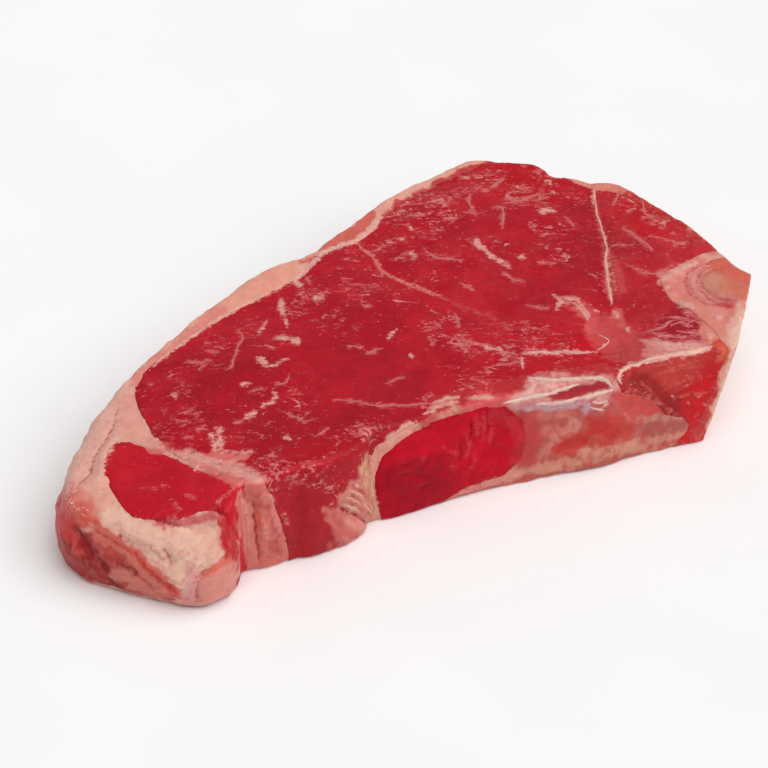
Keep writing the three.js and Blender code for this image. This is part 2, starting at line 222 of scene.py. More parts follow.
STROKES = [
    # the line of connective tissue between the eye and the gluteal muscle
    *strokes(
        "top", (214, 118, 112), 0.8, 0.1,
        (0.55, (355, 240), (363, 249), (373, 255), (381, 270), (395, 279), (413, 286), (427, 291),
         (450, 300)),
    ),
    *strokes("top", SALMON, 2.0, -0.1, (0.5, (446, 299), (458, 305), (476, 312), (494, 318), (512, 330))),
    # the white tendon between the gluteal and the spinal muscle, its branch and the film beside them
    *strokes(
        "top", SALMON, 2.0, 0.1,
        (1.2, (609, 252), (614, 262), (619, 276), (622, 286), (618, 298)),
        (0.7, (594, 184), (597, 215), (604, 240), (605, 268), (609, 300)),
    ),
    *strokes(
        "top", (212, 124, 118), 1.8, 0.15,
        (0.6, (610, 254), (615, 264), (619, 276), (622, 287), (619, 297)),
        (0.4, (612, 268), (615, 280), (616, 292)),
    ),
    *strands(
        "top", (224, 168, 156), 1.6, 0.35,
        (0.5, (594, 186), (594, 198), (597, 214), (601, 228), (605, 240), (608, 250)),
        (0.6, (607, 248), (606, 258), (607, 268), (608, 283), (611, 304)),
    ),
    # streaks of fat in the gluteal muscle
    *strands(
        "top", ROSE, 1.8, 0.12,
        (0.35, (423, 248), (433, 256), (445, 258), (460, 260)),
        (0.45, (461, 284), (467, 287), (474, 291)),
        (0.4, (502, 272), (513, 279), (525, 283)),
        (0.4, (470, 193), (468, 201), (472, 209), (476, 217)),
        (0.4, (504, 198), (519, 201), (531, 197), (543, 193)),
        (0.45, (492, 207), (502, 207), (503, 217), (502, 227)),
        (0.45, (490, 189), (497, 184), (503, 178)),
        (0.3, (564, 215), (570, 221), (574, 228)),
        (0.35, (539, 263), (547, 262), (556, 263)),
        (0.3, (527, 305), (538, 307), (549, 308)),
        (0.25, (481, 346), (487, 345), (494, 348)),
    ),
    *strokes(
        "top", PALE, 1.6, 0.0,
        (1.0, (474, 238), (479, 246), (484, 251)),
        (0.6, (482, 249), (491, 256), (501, 262), (511, 268)),
        (0.7, (540, 211), (547, 210), (555, 211)),
        (0.45, (519, 257), (526, 257)),
        (0.5, (409, 225), (412, 230)),
        (0.5, (399, 239), (406, 241)),
        (0.55, (410, 253), (416, 258)),
        (0.6, (553, 295), (559, 300), (561, 303), (555, 309)),
        (0.3, (548, 180), (550, 184)),
    ),
    # the thin pale line between the meat and the fat of its back
    *strokes(
        "any", (226, 168, 156), 0.8, 0.15,
        (0.4, (150, 369), (187, 340), (222, 317), (262, 297), (290, 284)),
        (0.75, (290, 284), (299, 277), (312, 264), (322, 254), (337, 247), (356, 241), (368, 231)),
        (1.0, (366, 232), (374, 226), (377, 218)),
    ),
    # larger flecks in the eye muscle
    *strokes(
        "top", PALE, 1.5, 0.0,
        (0.9, (282, 300), (281, 310), (285, 316)),
        (0.4, (285, 316), (287, 327)),
        (0.7, (294, 279), (298, 282), (303, 287)),
        (0.65, (314, 299), (319, 297), (324, 300)),
        (0.55, (266, 322), (262, 328), (258, 333)),
        (0.5, (274, 339), (283, 338), (290, 339)),
        (0.9, (290, 339), (295, 340), (300, 342)),
        (0.8, (257, 358), (262, 361), (267, 366)),
        (0.35, (270, 366), (278, 363), (288, 359)),
        (0.55, (241, 385), (249, 383)),
        (0.5, (272, 389), (276, 396), (271, 403), (261, 407)),
        (0.75, (257, 410), (250, 415), (245, 419)),
        (0.8, (221, 427), (219, 434)),
        (0.75, (218, 441), (217, 447)),
        (0.6, (172, 395), (177, 395)),
        (0.5, (387, 339), (391, 334), (397, 330)),
        (0.5, (411, 355), (412, 359)),
        (0.45, (483, 346), (490, 348), (500, 350), (508, 352)),
        (0.6, (284, 438), (290, 438)),
    ),
    *strands(
        "top", ROSE, 1.8, 0.12,
        (0.35, (239, 330), (243, 338), (238, 345), (236, 353), (233, 360), (232, 367), (225, 371)),
        (0.35, (209, 351), (217, 353)),
        (0.35, (187, 361), (194, 363), (203, 362), (212, 361)),
        (0.3, (198, 370), (203, 366), (209, 362)),
        (0.3, (250, 391), (258, 390), (267, 389)),
        (0.3, (290, 373), (288, 378), (285, 383), (275, 385)),
        (0.35, (245, 419), (240, 421), (234, 423)),
        (0.5, (196, 429), (202, 428), (208, 429)),
        (0.35, (183, 439), (188, 437), (194, 436)),
        (0.3, (174, 419), (181, 421), (188, 423)),
        (0.3, (333, 400), (350, 401), (367, 404), (387, 406), (403, 405), (423, 404), (447, 402)),
        (0.35, (347, 347), (355, 346), (364, 348)),
        (0.4, (365, 354), (373, 351), (381, 349)),
        (0.35, (430, 337), (433, 346)),
        (0.3, (387, 384), (396, 380), (405, 377)),
        (0.25, (282, 411), (295, 417), (308, 423)),
        (0.3, (314, 437), (321, 433), (328, 428)),
        (0.5, (455, 313), (457, 320), (460, 328)),
        (0.4, (461, 337), (465, 343), (470, 348)),
        (0.25, (494, 366), (506, 364), (519, 362)),
        (0.35, (353, 327), (357, 330)),
        (0.3, (361, 303), (365, 306), (371, 307)),
        (0.35, (306, 278), (311, 285)),
    ),
    # lines round the end of the spinal muscle
    *strands(
        "top", ROSE, 1.6, 0.15,
        (0.35, (621, 191), (618, 195), (614, 201), (613, 205)),
        (0.35, (641, 197), (643, 205), (645, 213), (652, 218), (660, 221)),
        (0.5, (623, 228), (632, 234), (641, 240), (653, 250)),
        (0.25, (649, 236), (658, 237), (668, 239)),
        (0.3, (674, 244), (681, 243), (688, 242)),
        (0.25, (611, 246), (621, 245), (632, 245)),
        (0.3, (625, 264), (641, 272), (655, 274), (666, 269), (674, 264)),
        (0.3, (645, 332), (655, 329), (666, 325)),
    ),
    # salmon film and threads where the muscles meet the bone
    *strokes(
        "top", SALMON, 3.0, 0.15,
        (1.0, (568, 301), (580, 305), (588, 317), (597, 328)),
        (2.4, (596, 326), (606, 334), (614, 344)),
        (1.6, (612, 318), (616, 326)),
    ),
    *strands(
        "top", PALE, 1.0, 0.2,
        (0.3, (597, 333), (603, 337), (609, 341), (603, 346), (597, 351)),
        (0.5, (521, 354), (536, 352), (552, 353), (566, 352), (580, 353), (594, 352)),
        (0.4, (522, 356), (522, 362), (523, 369)),
        (0.3, (566, 303), (574, 304), (582, 312), (589, 322)),
        (0.7, (626, 329), (629, 331)),
    ),
    # the pale strips on top of the bone, with a blue-grey one among them
    *strokes(
        "any", (226, 172, 164), 1.4, 0.2,
        (0.9, (529, 378), (534, 384), (530, 392), (521, 399)),
        (0.7, (538, 380), (546, 384), (556, 386)),
        (0.5, (508, 402), (524, 397), (540, 393)),
        (0.4, (600, 399), (607, 404), (602, 408)),
    ),
    *strands(
        "any", WHITE, 0.9, 0.25,
        (0.5, (529, 378), (546, 379), (564, 380), (582, 378), (598, 378), (608, 382), (614, 388)),
        (0.55, (504, 403), (520, 400), (531, 397), (545, 395), (560, 390), (580, 384)),
        (0.55, (613, 390), (602, 393), (587, 397), (568, 401), (552, 404), (536, 404)),
        (0.35, (592, 402), (600, 403), (608, 401)),
        (0.3, (588, 407), (596, 409), (604, 411)),
    ),
    *strokes(
        "any", BLUE, 2.4, 0.2,
        (0.9, (514, 408), (531, 408), (550, 408), (568, 406), (588, 402)),
        (0.8, (590, 403), (586, 408), (583, 414)),
    ),
    *strokes("any", (172, 44, 56), 1.4, -0.2, (0.9, (542, 396), (560, 393), (580, 389), (608, 386))),
    *strokes(
        "any", (208, 116, 108), 2.0, 0.15,
        (0.3, (618, 394), (636, 392), (652, 398), (664, 408), (676, 414)),
        (0.25, (611, 399), (618, 408), (626, 416), (634, 422)),
    ),
    # the rim of bone above the marrow, sprayed with crumbs of fat and painted glints
    *strokes(
        "any", (222, 160, 146), 1.4, 0.1,
        (0.9, (382, 446), (392, 436), (405, 427), (416, 422)),
        (0.7, (425, 414), (436, 408), (447, 404), (458, 402)),
        (0.6, (430, 405), (445, 400), (460, 397)),
        (0.7, (470, 399), (484, 397), (497, 398)),
    ),
    # strips of fat along the top edge of the cut by the chine
    *strokes("top", PALE, 2.0, 0.2, (1.0, (649, 342), (660, 345), (675, 347), (690, 347), (706, 346))),
    *strands(
        "any", (228, 178, 160), 1.4, 0.45,
        (0.8, (712, 347), (697, 351), (684, 353), (671, 355), (658, 358), (645, 361), (632, 366)),
        (0.6, (642, 362), (630, 366), (622, 370), (619, 377), (622, 384)),
    ),
    *strokes("any", CREAM, 1.5, 0.1, (0.65, (739, 322), (732, 356), (723, 386), (715, 413), (707, 438))),
    # threads in the recess beside the chine
    *strokes(
        "front", (206, 84, 72), 1.5, 0.2,
        (0.25, (652, 366), (670, 362), (690, 358)),
        (0.3, (656, 374), (676, 366), (694, 363)),
        (0.3, (660, 372), (680, 368), (700, 366)),
        (0.3, (668, 384), (686, 380), (702, 380)),
        (0.35, (676, 398), (690, 394), (704, 392)),
        (0.3, (640, 382), (650, 390), (654, 398)),
    ),
    *strokes(
        "any", (226, 150, 140), 0.7, 0.15,
        (0.3, (671, 396), (675, 399)),
        (0.3, (703, 404), (707, 406)),
        (0.3, (696, 398), (700, 396)),
        (0.25, (682, 386), (688, 385)),
        (0.25, (718, 372), (722, 370)),
        (0.3, (726, 358), (730, 354)),
        (0.3, (722, 380), (725, 374)),
    ),
    # wrinkles in the marrow and its pale lower rim
    *strokes(
        "front", (200, 70, 76), 2.6, 0.3,
        (0.4, (475, 414), (478, 424), (476, 436)),
        (0.35, (482, 412), (485, 424), (482, 440)),
        (0.4, (465, 434), (470, 444), (467, 456)),
        (0.3, (489, 416), (492, 430), (489, 444)),
        (0.3, (442, 447), (450, 452), (457, 452)),
        (0.25, (420, 455), (424, 462)),
        (0.3, (474, 448), (473, 462), (468, 472)),
        (0.25, (449, 462), (456, 470)),
    ),
    # painted shade: dark red in the sunken wrinkles of the marrow
    *strokes(
        "front", (140, 20, 32), 1.6, -0.35,
        (0.35, (470, 418), (472, 430), (469, 440)),
        (0.3, (460, 440), (462, 452), (458, 464)),
        (0.3, (487, 416), (488, 428)),
        (0.3, (398, 476), (414, 474), (430, 478)),
        (0.25, (404, 490), (420, 488), (434, 484)),
        (0.25, (400, 466), (412, 464)),
    ),
    *strokes(
        "front", (216, 140, 132), 2.5, 0.1,
        (0.8, (456, 496), (470, 490), (488, 484), (508, 479), (522, 472)),
    ),
    # cords, spongy fat and the knob of the gristle
    # painted shade: the dark sunken crease under the gristle's cords
    *strokes(
        "any", (160, 34, 42), 1.0, -0.9,
        (0.45, (338, 506), (344, 510), (350, 514), (360, 518), (371, 524)),
    ),
    *strokes(
        "any", (214, 172, 142), 1.8, 0.3,
        (0.5, (368, 476), (372, 490), (376, 504), (377, 516)),
    ),
    *strands(
        "any", (224, 166, 150), 1.4, 0.35,
        (0.5, (344, 505), (352, 508), (360, 513)),
        (0.45, (346, 498), (354, 500), (362, 506)),
        (0.45, (350, 491), (357, 494), (364, 499)),
        (0.4, (356, 485), (362, 488)),
        (0.35, (366, 474), (371, 480)),
        (0.4, (362, 500), (368, 509), (373, 515)),
    ),
    # painted shade: darker sunken lines between the cords
    *strokes(
        "any", (170, 60, 56), 1.6, -0.3,
        (0.25, (347, 502), (356, 505), (366, 513)),
        (0.25, (352, 495), (360, 499), (367, 506)),
        (0.25, (358, 489), (365, 494)),
    ),
    # the red crease and the pale cords of the fat between the tail and the eye; the cords' paleness is partly
    # a painted highlight on the lobes
    *strokes(
        "front", (164, 44, 48), 1.0, -0.6,
        (0.25, (243, 491), (250, 501), (254, 508)),
        (0.4, (252, 506), (254, 514), (255, 524), (257, 537), (258, 549), (260, 565)),
    ),
    # pale raised cords, partly painted highlights along the lobes
    *strokes(
        "front", (216, 140, 127), 2.8, 0.5,
        (0.8, (242, 499), (245, 508), (246, 516)),
        (0.8, (248, 524), (249, 534), (247, 548)),
        (0.5, (262, 520), (265, 530), (266, 542)),
        (0.4, (240, 488), (243, 496)),
        (0.5, (268, 494), (274, 502)),
        (0.4, (284, 512), (287, 524)),
    ),
    *strokes("any", WHITE, 1.5, 0.2, (0.6, (194, 468), (197, 470))),
    # the fat between the tail muscle and the eye
    *strokes(
        "top", PALE, 2.0, 0.1,
        (0.45, (165, 452), (180, 457), (196, 461), (212, 465), (230, 471), (248, 478)),
        (0.5, (140, 443), (150, 446), (162, 448)),
        (0.8, (211, 434), (213, 442), (216, 450)),
        (0.8, (219, 428), (220, 440), (221, 452)),
        (0.5, (228, 452), (240, 453), (254, 452)),
        (0.5, (186, 455), (200, 460), (214, 461), (232, 463)),
        (0.6, (238, 470), (250, 476), (262, 482)),
    ),
    # fleck and fine threads of the tail muscle, and crumbs of fat down its corner; the pale marks at its
    # right corner are partly painted highlights
    *strokes(
        "any", (222, 130, 128), 1.2, 0.1,
        (0.25, (228, 491), (224, 495), (221, 501), (219, 507)),
        (0.25, (216, 501), (219, 503)),
        (0.3, (214, 513), (218, 517)),
        (0.25, (237, 540), (240, 546)),
        (0.25, (231, 486), (234, 489)),
    ),
    *strokes(
        "top", ROSE, 2.0, 0.0,
        (0.4, (171, 500), (176, 504), (179, 510)),
        (0.25, (143, 489), (155, 488), (168, 485)),
        (0.25, (183, 494), (196, 497)),
        # partly a painted highlight at the muscle's right corner
        (0.25, (222, 497), (228, 492), (231, 490)),
    ),
    # creases and strands of the fat round the tail
    *strokes(
        "any", (176, 74, 66), 1.0, -0.45,
        (0.2, (119, 407), (116, 416), (113, 426), (108, 434), (100, 446), (92, 462), (86, 477), (79, 485)),
    ),
    *strokes(
        "any", (228, 172, 158), 2.0, 0.2,
        (0.3, (76, 452), (70, 470), (66, 486)),
        (0.3, (84, 446), (77, 464), (73, 482)),
        (0.25, (92, 446), (84, 462), (79, 474)),
        (0.6, (112, 404), (103, 420), (93, 437), (85, 456), (78, 476), (74, 492)),
        (0.6, (100, 412), (88, 432), (78, 452), (70, 474), (67, 492)),
        (0.8, (122, 428), (112, 444), (104, 460), (99, 478), (100, 494)),
    ),
    *strokes(
        "front", (200, 62, 54), 1.6, -0.4,
        (0.4, (84, 520), (97, 532), (110, 540), (122, 547), (134, 556)),
        (0.7, (134, 553), (143, 566), (152, 575), (165, 584), (180, 597)),
        (0.5, (116, 518), (118, 528), (121, 538)),
        (0.25, (100, 541), (112, 549), (124, 560)),
        (0.25, (126, 566), (140, 578), (152, 588)),
    ),
    *strokes(
        "front", (234, 194, 174), 2.2, 0.3,
        (0.8, (128, 522), (142, 532), (160, 540)),
        (0.9, (150, 548), (166, 545), (184, 540)),
        (0.6, (170, 572), (182, 562), (196, 552)),
        (0.6, (205, 545), (200, 560), (190, 576)),
        (0.5, (112, 520), (124, 532), (136, 540)),
    ),
    *strokes(
        "front", (206, 148, 132), 2.0, -0.3,
        (0.5, (140, 542), (156, 552), (166, 566)),
        (0.5, (176, 552), (190, 548), (202, 538)),
        (0.4, (180, 584), (190, 572), (206, 562)),
        (0.4, (118, 528), (130, 541), (146, 552)),
    ),
    *strokes(
        "front", (178, 78, 72), 2.0, -0.6,
        (0.3, (196, 578), (203, 573), (212, 569)),
        (0.3, (199, 580), (197, 592), (196, 606)),
        (0.3, (160, 545), (168, 556), (170, 566)),
    ),
    # painted shade: very dark red in the creases low on the tail's side
    *strokes(
        "front", (126, 26, 30), 2.4, -0.6,
        (0.6, (77, 526), (83, 538), (88, 551), (96, 558)),
        (0.7, (96, 558), (103, 564), (108, 572)),
        (0.35, (118, 563), (127, 570), (137, 577)),
        (0.4, (104, 577), (112, 584), (120, 590)),
    ),
    # rings in the chine's cartilage
    *strokes(
        "top", (186, 84, 86), 1.3, -0.3,
        (0.3, (714, 262), (702, 265), (693, 269), (687, 275), (685, 282), (688, 290), (695, 297), (704, 302),
         (719, 305)),
        (0.3, (718, 266), (706, 269), (699, 275), (697, 282), (700, 290), (707, 296), (717, 301),
         (732, 303)),
        (0.35, (722, 268), (711, 271), (704, 277), (702, 284), (706, 291), (714, 296), (724, 299),
         (738, 301)),
    ),
    *strands(
        "top", (218, 138, 130), 1.6, 0.2,
        (0.35, (711, 265), (700, 268), (693, 275), (691, 282), (694, 290), (702, 298), (716, 303)),
        (0.3, (714, 268), (706, 272), (700, 279), (701, 287), (708, 294), (720, 299)),
    ),
    *strokes(
        "top", (224, 164, 154), 1.8, 0.3,
        (0.9, (659, 281), (666, 279), (674, 276)),
        (0.8, (664, 290), (670, 289)),
        (0.9, (680, 270), (688, 266), (698, 262)),
        (0.8, (677, 302), (686, 306), (695, 309)),
        (1.1, (738, 316), (733, 323), (727, 330)),
        (0.7, (715, 315), (722, 318)),
        (0.6, (708, 334), (711, 338)),
    ),
    *strands(
        "top", (214, 118, 122), 1.2, 0.25,
        (0.3, (656, 330), (664, 327), (672, 320)),
        (0.25, (668, 318), (679, 317), (690, 320)),
        (0.25, (671, 325), (682, 323), (694, 327)),
        (0.3, (660, 336), (672, 337), (684, 338)),
        (0.25, (678, 331), (688, 333), (697, 332)),
        (0.3, (690, 338), (697, 341), (702, 343)),
        (0.25, (682, 312), (692, 313)),
        (0.25, (650, 330), (656, 334), (664, 333)),
        (0.25, (696, 322), (701, 326)),
        (0.2, (684, 325), (692, 322), (699, 318)),
    ),
    *strokes(
        "top", (220, 144, 136), 1.4, 0.2,
        (0.9, (562, 298), (577, 300), (584, 311), (592, 322)),
        (0.9, (613, 312), (619, 317)),
        (0.5, (625, 328), (630, 332)),
        (0.4, (594, 311), (600, 313)),
        (0.6, (640, 340), (652, 343), (668, 346)),
    ),
]

# Soft changes of the ground: side, pieces (none for all), colour, share, half width and softness in mm,
# and a chain of pixels
Wash = namedtuple("Wash", "side pieces colour share radius soft chain")
FILLED = 0              # the half width that marks the outline of a filled patch
MUSCLES = ("eye_muscle", "gluteal_muscle", "spinal_muscle")


def washes(side, pieces, colour, share, soft, *chains):
    """Several washes alike; each is a half width in mm and a chain of pixels."""
    return [Wash(side, pieces, colour, share, chain[0], soft, chain[1:]) for chain in chains]


def patch(side, pieces, colour, share, soft, *outline):
    """A patch filled up to its outline, in pixels."""
    return [Wash(side, pieces, colour, share, FILLED, soft, outline)]


WASHES = [
    # bright and deep red of the lean; the first wash is painted shade, darker red over the eye muscle's front
    # face
    *washes("front", ("eye_muscle",), (164, 26, 40), 0.7, 6, (14, (270, 480), (290, 520), (340, 480))),
    *washes(
        "top", MUSCLES, (190, 24, 36), 0.7, 6,
        (4, (500, 170), (540, 180)), (5, (560, 362), (600, 368)),
        (4, (640, 205), (650, 215)), (4, (330, 480), (320, 470)),
    ),
    *washes(
        "top", MUSCLES, (160, 24, 40), 0.6, 7,
        (6, (220, 395), (250, 375)), (6, (340, 340), (370, 330)), (6, (370, 425), (400, 410)),
        (5, (580, 230), (590, 260)), (5, (270, 430), (340, 440)),
    ),
    # dark shreds beside the chine
    *patch(
        "top", ("spinal_muscle", "chine_cartilage"), (158, 24, 42), 0.7, 3.0,
        (664, 322), (676, 310), (694, 308), (703, 318), (706, 332), (700, 343), (680, 342), (662, 336),
    ),
    # salmon tissue where the muscles, the bone and the chine meet
    *patch(
        "top", MUSCLES, (198, 76, 76), 0.8, 1.6,
        (584, 310), (592, 312), (604, 318), (614, 310), (620, 322), (636, 334), (650, 340), (648, 352),
        (624, 364), (606, 354), (596, 344), (590, 330),
    ),
    *washes(
        "top", MUSCLES, (206, 98, 92), 0.8, 1.2,
        (0.8, (566, 302), (580, 308), (590, 322), (600, 334)), (0.9, (616, 312), (620, 322)),
    ),
    *patch(
        "top", MUSCLES, (216, 140, 132), 0.8, 1.2,
        (640, 338), (660, 342), (690, 344), (708, 344), (706, 349), (684, 352), (656, 356), (646, 352),
    ),
    # the recess and the red corner beside the chine
    *washes("front", ("spinal_muscle",), (180, 46, 50), 0.85, 6, (14, (630, 380), (720, 370))),
    *washes(
        "front", ("spinal_muscle",), (192, 66, 56), 0.6, 4,
        (2.5, (640, 374), (700, 360)), (2, (650, 400), (668, 392)),
    ),
    # painted shade: darker red low in the recess, by the bone's edge
    *washes(
        "front", ("spinal_muscle",), (148, 26, 32), 0.8, 3,
        (2, (644, 384), (656, 398)), (2.5, (672, 408), (694, 402)),
    ),
    *washes(
        "front", ("spinal_muscle",), (200, 28, 36), 0.85, 4,
        (3, (700, 400), (697, 436)), (2.5, (716, 376), (712, 400)),
    ),
    # the bone: lean on its upper rim, pale strips, salmon, orange, cream and grey patches
    *patch(
        "any", ("loin_bone",), (186, 40, 50), 0.95, 2.2,
        (396, 426), (426, 392), (480, 376), (532, 362), (575, 354), (614, 350), (624, 372), (616, 380),
        (604, 377), (575, 379), (548, 376), (532, 378), (522, 390), (505, 397), (478, 400), (450, 405),
        (424, 415), (408, 425),
    ),
    *patch(
        "any", ("loin_bone",), (184, 88, 82), 0.9, 2.0,
        (520, 410), (560, 404), (612, 396), (622, 408), (610, 424), (575, 440), (545, 462), (525, 468),
        (524, 440),
    ),
    *patch(
        "any", ("loin_bone",), (220, 152, 146), 0.9, 2.2,
        (538, 378), (550, 377), (575, 380), (604, 376), (614, 382), (616, 392), (596, 397), (562, 402),
        (530, 406), (508, 406), (508, 401), (528, 394),
    ),
    *patch(
        "any", ("loin_bone",), (168, 36, 46), 0.95, 0.8,
        (550, 396), (566, 389), (588, 386), (606, 385), (608, 389), (590, 392), (568, 397), (552, 400),
    ),
    *patch(
        "front", ("loin_bone",), (192, 58, 50), 0.85, 2.0,
        (556, 452), (560, 440), (584, 430), (590, 418), (612, 418), (634, 426), (632, 438), (606, 446),
        (572, 458),
    ),
    *patch(
        "front", ("loin_bone",), (198, 74, 70), 0.95, 1.2,
        (614, 396), (636, 392), (656, 400), (668, 412), (656, 420), (638, 424), (622, 418),
    ),
    *patch(
        "front", ("loin_bone",), (172, 92, 86), 0.95, 1.8,
        (636, 428), (656, 418), (678, 415), (692, 420), (688, 432), (664, 438), (642, 442),
    ),
    *patch(
        "front", ("loin_bone",), (204, 142, 120), 0.95, 1.6,
        (456, 494), (500, 482), (520, 470), (536, 462), (560, 460), (602, 449), (640, 442), (690, 432),
        (696, 440), (640, 456), (560, 474), (500, 492),
    ),
    *washes(
        "front", ("loin_bone",), (200, 132, 118), 0.85, 1.5,
        (1.0, (528, 470), (545, 452), (552, 443), (575, 424)), (0.4, (638, 422), (664, 416), (690, 416)),
        (0.3, (640, 442), (668, 438), (688, 430)),
    ),
    *washes(
        "front", ("loin_bone",), (186, 48, 44), 0.8, 1.5,
        (1.2, (592, 424), (612, 432)), (0.8, (556, 448), (580, 440)),
    ),
    *washes(
        "front", ("loin_bone",), (206, 126, 114), 0.7, 1.5,
        (0.7, (532, 418), (550, 414), (568, 416)), (0.6, (540, 432), (560, 428)),
    ),
    *washes(
        "front", ("loin_bone",), (176, 76, 70), 0.8, 1.2,
        (0.7, (458, 498), (520, 480), (560, 474), (640, 456), (700, 440)),
    ),
    *washes("front", ("loin_bone",), (184, 60, 62), 0.8, 3, (2, (528, 420), (531, 440), (526, 456))),
    # the pale rim round the marrow
    *patch(
        "any", ("loin_bone", "gristle"), (224, 158, 142), 0.95, 1.2,
        (364, 480), (365, 466), (368, 452), (374, 441), (390, 433), (405, 427), (416, 421), (418, 425),
        (402, 434), (392, 442), (384, 451), (381, 464), (382, 480),
    ),
    *washes("any", ("loin_bone",), (208, 152, 128), 0.9, 2, (2.0, (374, 484), (374, 498), (377, 516))),
    *washes("any", ("loin_bone",), (216, 92, 98), 0.8, 1.6, (1.2, (476, 402), (490, 401), (503, 400))),
    # the marrow
    *washes(
        "front", ("bone_marrow",), (196, 6, 47), 0.9, 5,
        (4, (395, 452), (420, 435), (455, 418)), (4, (492, 455), (514, 450)),
    ),
    *washes(
        "front", ("bone_marrow",), (160, 16, 44), 0.8, 4,
        (3, (400, 478), (432, 476)), (3, (400, 505), (440, 492)),
    ),
    *washes(
        "front", ("bone_marrow",), (190, 56, 64), 0.7, 2,
        (1.2, (500, 414), (520, 428), (524, 446), (518, 466)),
    ),
    # spongy gristle and the knob below it, which both spread over the meat beside them
    *patch(
        "any", ("eye_muscle", "gristle"), (202, 126, 110), 0.95, 1.2,
        (341, 506), (342, 499), (348, 487), (357, 481), (363, 469), (367, 456), (374, 470), (380, 488),
        (380, 519), (373, 521), (363, 518), (348, 512),
    ),
    *patch(
        "any", ("eye_muscle", "gristle"), (206, 112, 104), 0.95, 0.9,
        (324, 509), (333, 509), (342, 511), (352, 516), (364, 520), (370, 525), (369, 535), (360, 541),
        (352, 545), (343, 541), (334, 530), (328, 520),
    ),
    *patch(
        "any", ("eye_muscle", "gristle"), (176, 84, 82), 0.8, 0.9,
        (334, 531), (343, 541), (352, 545), (346, 550), (338, 546), (331, 537),
    ),
    *patch(
        "any", ("eye_muscle", "gristle"), (166, 32, 44), 0.95, 0.8,
        (318, 528), (328, 530), (334, 540), (340, 549), (350, 552), (340, 562), (322, 562),
    ),
    *washes(
        "any", ("gristle", "eye_muscle"), (218, 148, 136), 0.8, 1.6,
        (0.7, (348, 522), (356, 527), (364, 528)),
    ),
    *washes(
        "any", ("gristle", "eye_muscle"), (196, 92, 88), 0.8, 1.4,
        (0.5, (330, 514), (338, 522), (346, 532), (356, 538)),
    ),
    *washes(
        "any", ("gristle", "eye_muscle"), (204, 158, 124), 0.9, 1.0,
        (0.9, (370, 462), (367, 474), (372, 490), (377, 504), (377, 518)),
    ),
    # painted shade: darker lines between the gristle's cords
    *washes(
        "any", ("gristle", "eye_muscle"), (186, 84, 80), 0.7, 1.0,
        (0.3, (352, 496), (362, 504), (370, 514)), (0.3, (356, 488), (365, 496)),
    ),
    # the chine: orange and cream cartilage, its fat column and orange corner
    *washes("any", ("spinous_bone",), (212, 100, 82), 0.9, 3, (2.5, (714, 262), (732, 268), (750, 281))),
    *washes(
        "any", ("spinous_bone",), (210, 140, 120), 0.85, 2.5,
        (2.2, (706, 280), (722, 288), (738, 296)),
    ),
    *washes("any", ("spinous_bone",), (206, 112, 84), 0.8, 2, (0.8, (728, 284), (742, 292), (748, 300))),
    *washes(
        "top", ("chine_cartilage", "spinal_muscle"), (190, 44, 52), 0.85, 1.0,
        (0.5, (716, 304), (730, 306), (742, 310)),
    ),
    # red lean between the chine and its pale outer edge
    *washes(
        "front", ("chine_cartilage",), (190, 42, 46), 0.95, 1.0,
        (2.1, (729, 352), (716, 390), (694, 444)),
    ),
    *washes(
        "any", ("chine_cartilage",), (228, 176, 160), 0.8, 1.0,
        (0.6, (739, 322), (732, 352), (720, 392), (708, 430)),
    ),
    *patch(
        "top", ("spinal_muscle",), (214, 130, 122), 0.9, 0.7,
        (658, 275), (668, 273), (680, 268), (690, 276), (690, 300), (678, 298), (670, 292), (661, 291),
        (668, 286), (658, 283), (668, 279),
    ),
    *patch(
        "top", ("chine_cartilage", "spinal_muscle"), (218, 136, 122), 0.95, 1.0,
        (674, 296), (690, 300), (706, 303), (722, 309), (729, 322), (724, 336), (712, 341), (703, 333),
        (700, 318), (690, 308), (676, 303),
    ),
    *washes(
        "any", ("chine_cartilage", "spinal_muscle"), (208, 96, 72), 0.85, 1.5,
        (0.9, (722, 346), (725, 356)),
    ),
    *washes(
        "any", ("chine_cartilage", "spinous_bone"), (228, 188, 168), 0.8, 2,
        (1.2, (741, 312), (735, 340)),
    ),
    # the wide seam of fat between the tail and the eye
    *patch(
        "top", ("eye_muscle", "fat_cap", "tail_muscle"), (213, 112, 106), 0.95, 0.7,
        (147, 440), (158, 443), (167, 447), (183, 453), (197, 455), (208, 453), (214, 449), (224, 452),
        (236, 455), (246, 457), (238, 461), (242, 466), (250, 471), (260, 476), (267, 481), (268, 489),
        (240, 488), (228, 481), (210, 473), (194, 465), (182, 458), (170, 452), (150, 449),
    ),
    *washes(
        "top", ("eye_muscle", "fat_cap"), (222, 152, 142), 0.8, 1.5,
        (0.7, (172, 454), (200, 459), (236, 466), (262, 484)),
    ),
    # fat round the tail: smooth pink upper part, cream lump, pink foot and red lower left, darker towards the
    # bottom with painted shade
    *patch(
        "any", ("fat_cap",), (224, 158, 144), 0.9, 2.0,
        (121, 404), (135, 396), (146, 416), (158, 440), (150, 446), (135, 441), (118, 431), (114, 424),
        (118, 412),
    ),
    *patch(
        "any", ("fat_cap",), (228, 174, 160), 0.85, 3.0,
        (84, 430), (110, 404), (116, 424), (98, 462), (88, 480), (70, 478),
    ),
    *patch(
        "any", ("fat_cap",), (225, 166, 150), 0.9, 2.0,
        (112, 440), (104, 474), (114, 493), (124, 512), (112, 516), (96, 500), (88, 482), (98, 462),
        (106, 442),
    ),
    *patch(
        "any", ("fat_cap",), (228, 184, 164), 0.95, 1.6,
        (116, 506), (126, 514), (150, 526), (180, 528), (206, 524), (214, 530), (216, 546), (226, 556),
        (204, 574), (192, 590), (184, 600), (170, 584), (156, 566), (138, 551), (118, 540), (104, 526),
        (102, 512),
    ),
    *patch(
        "any", ("fat_cap",), (214, 138, 126), 0.95, 2.0,
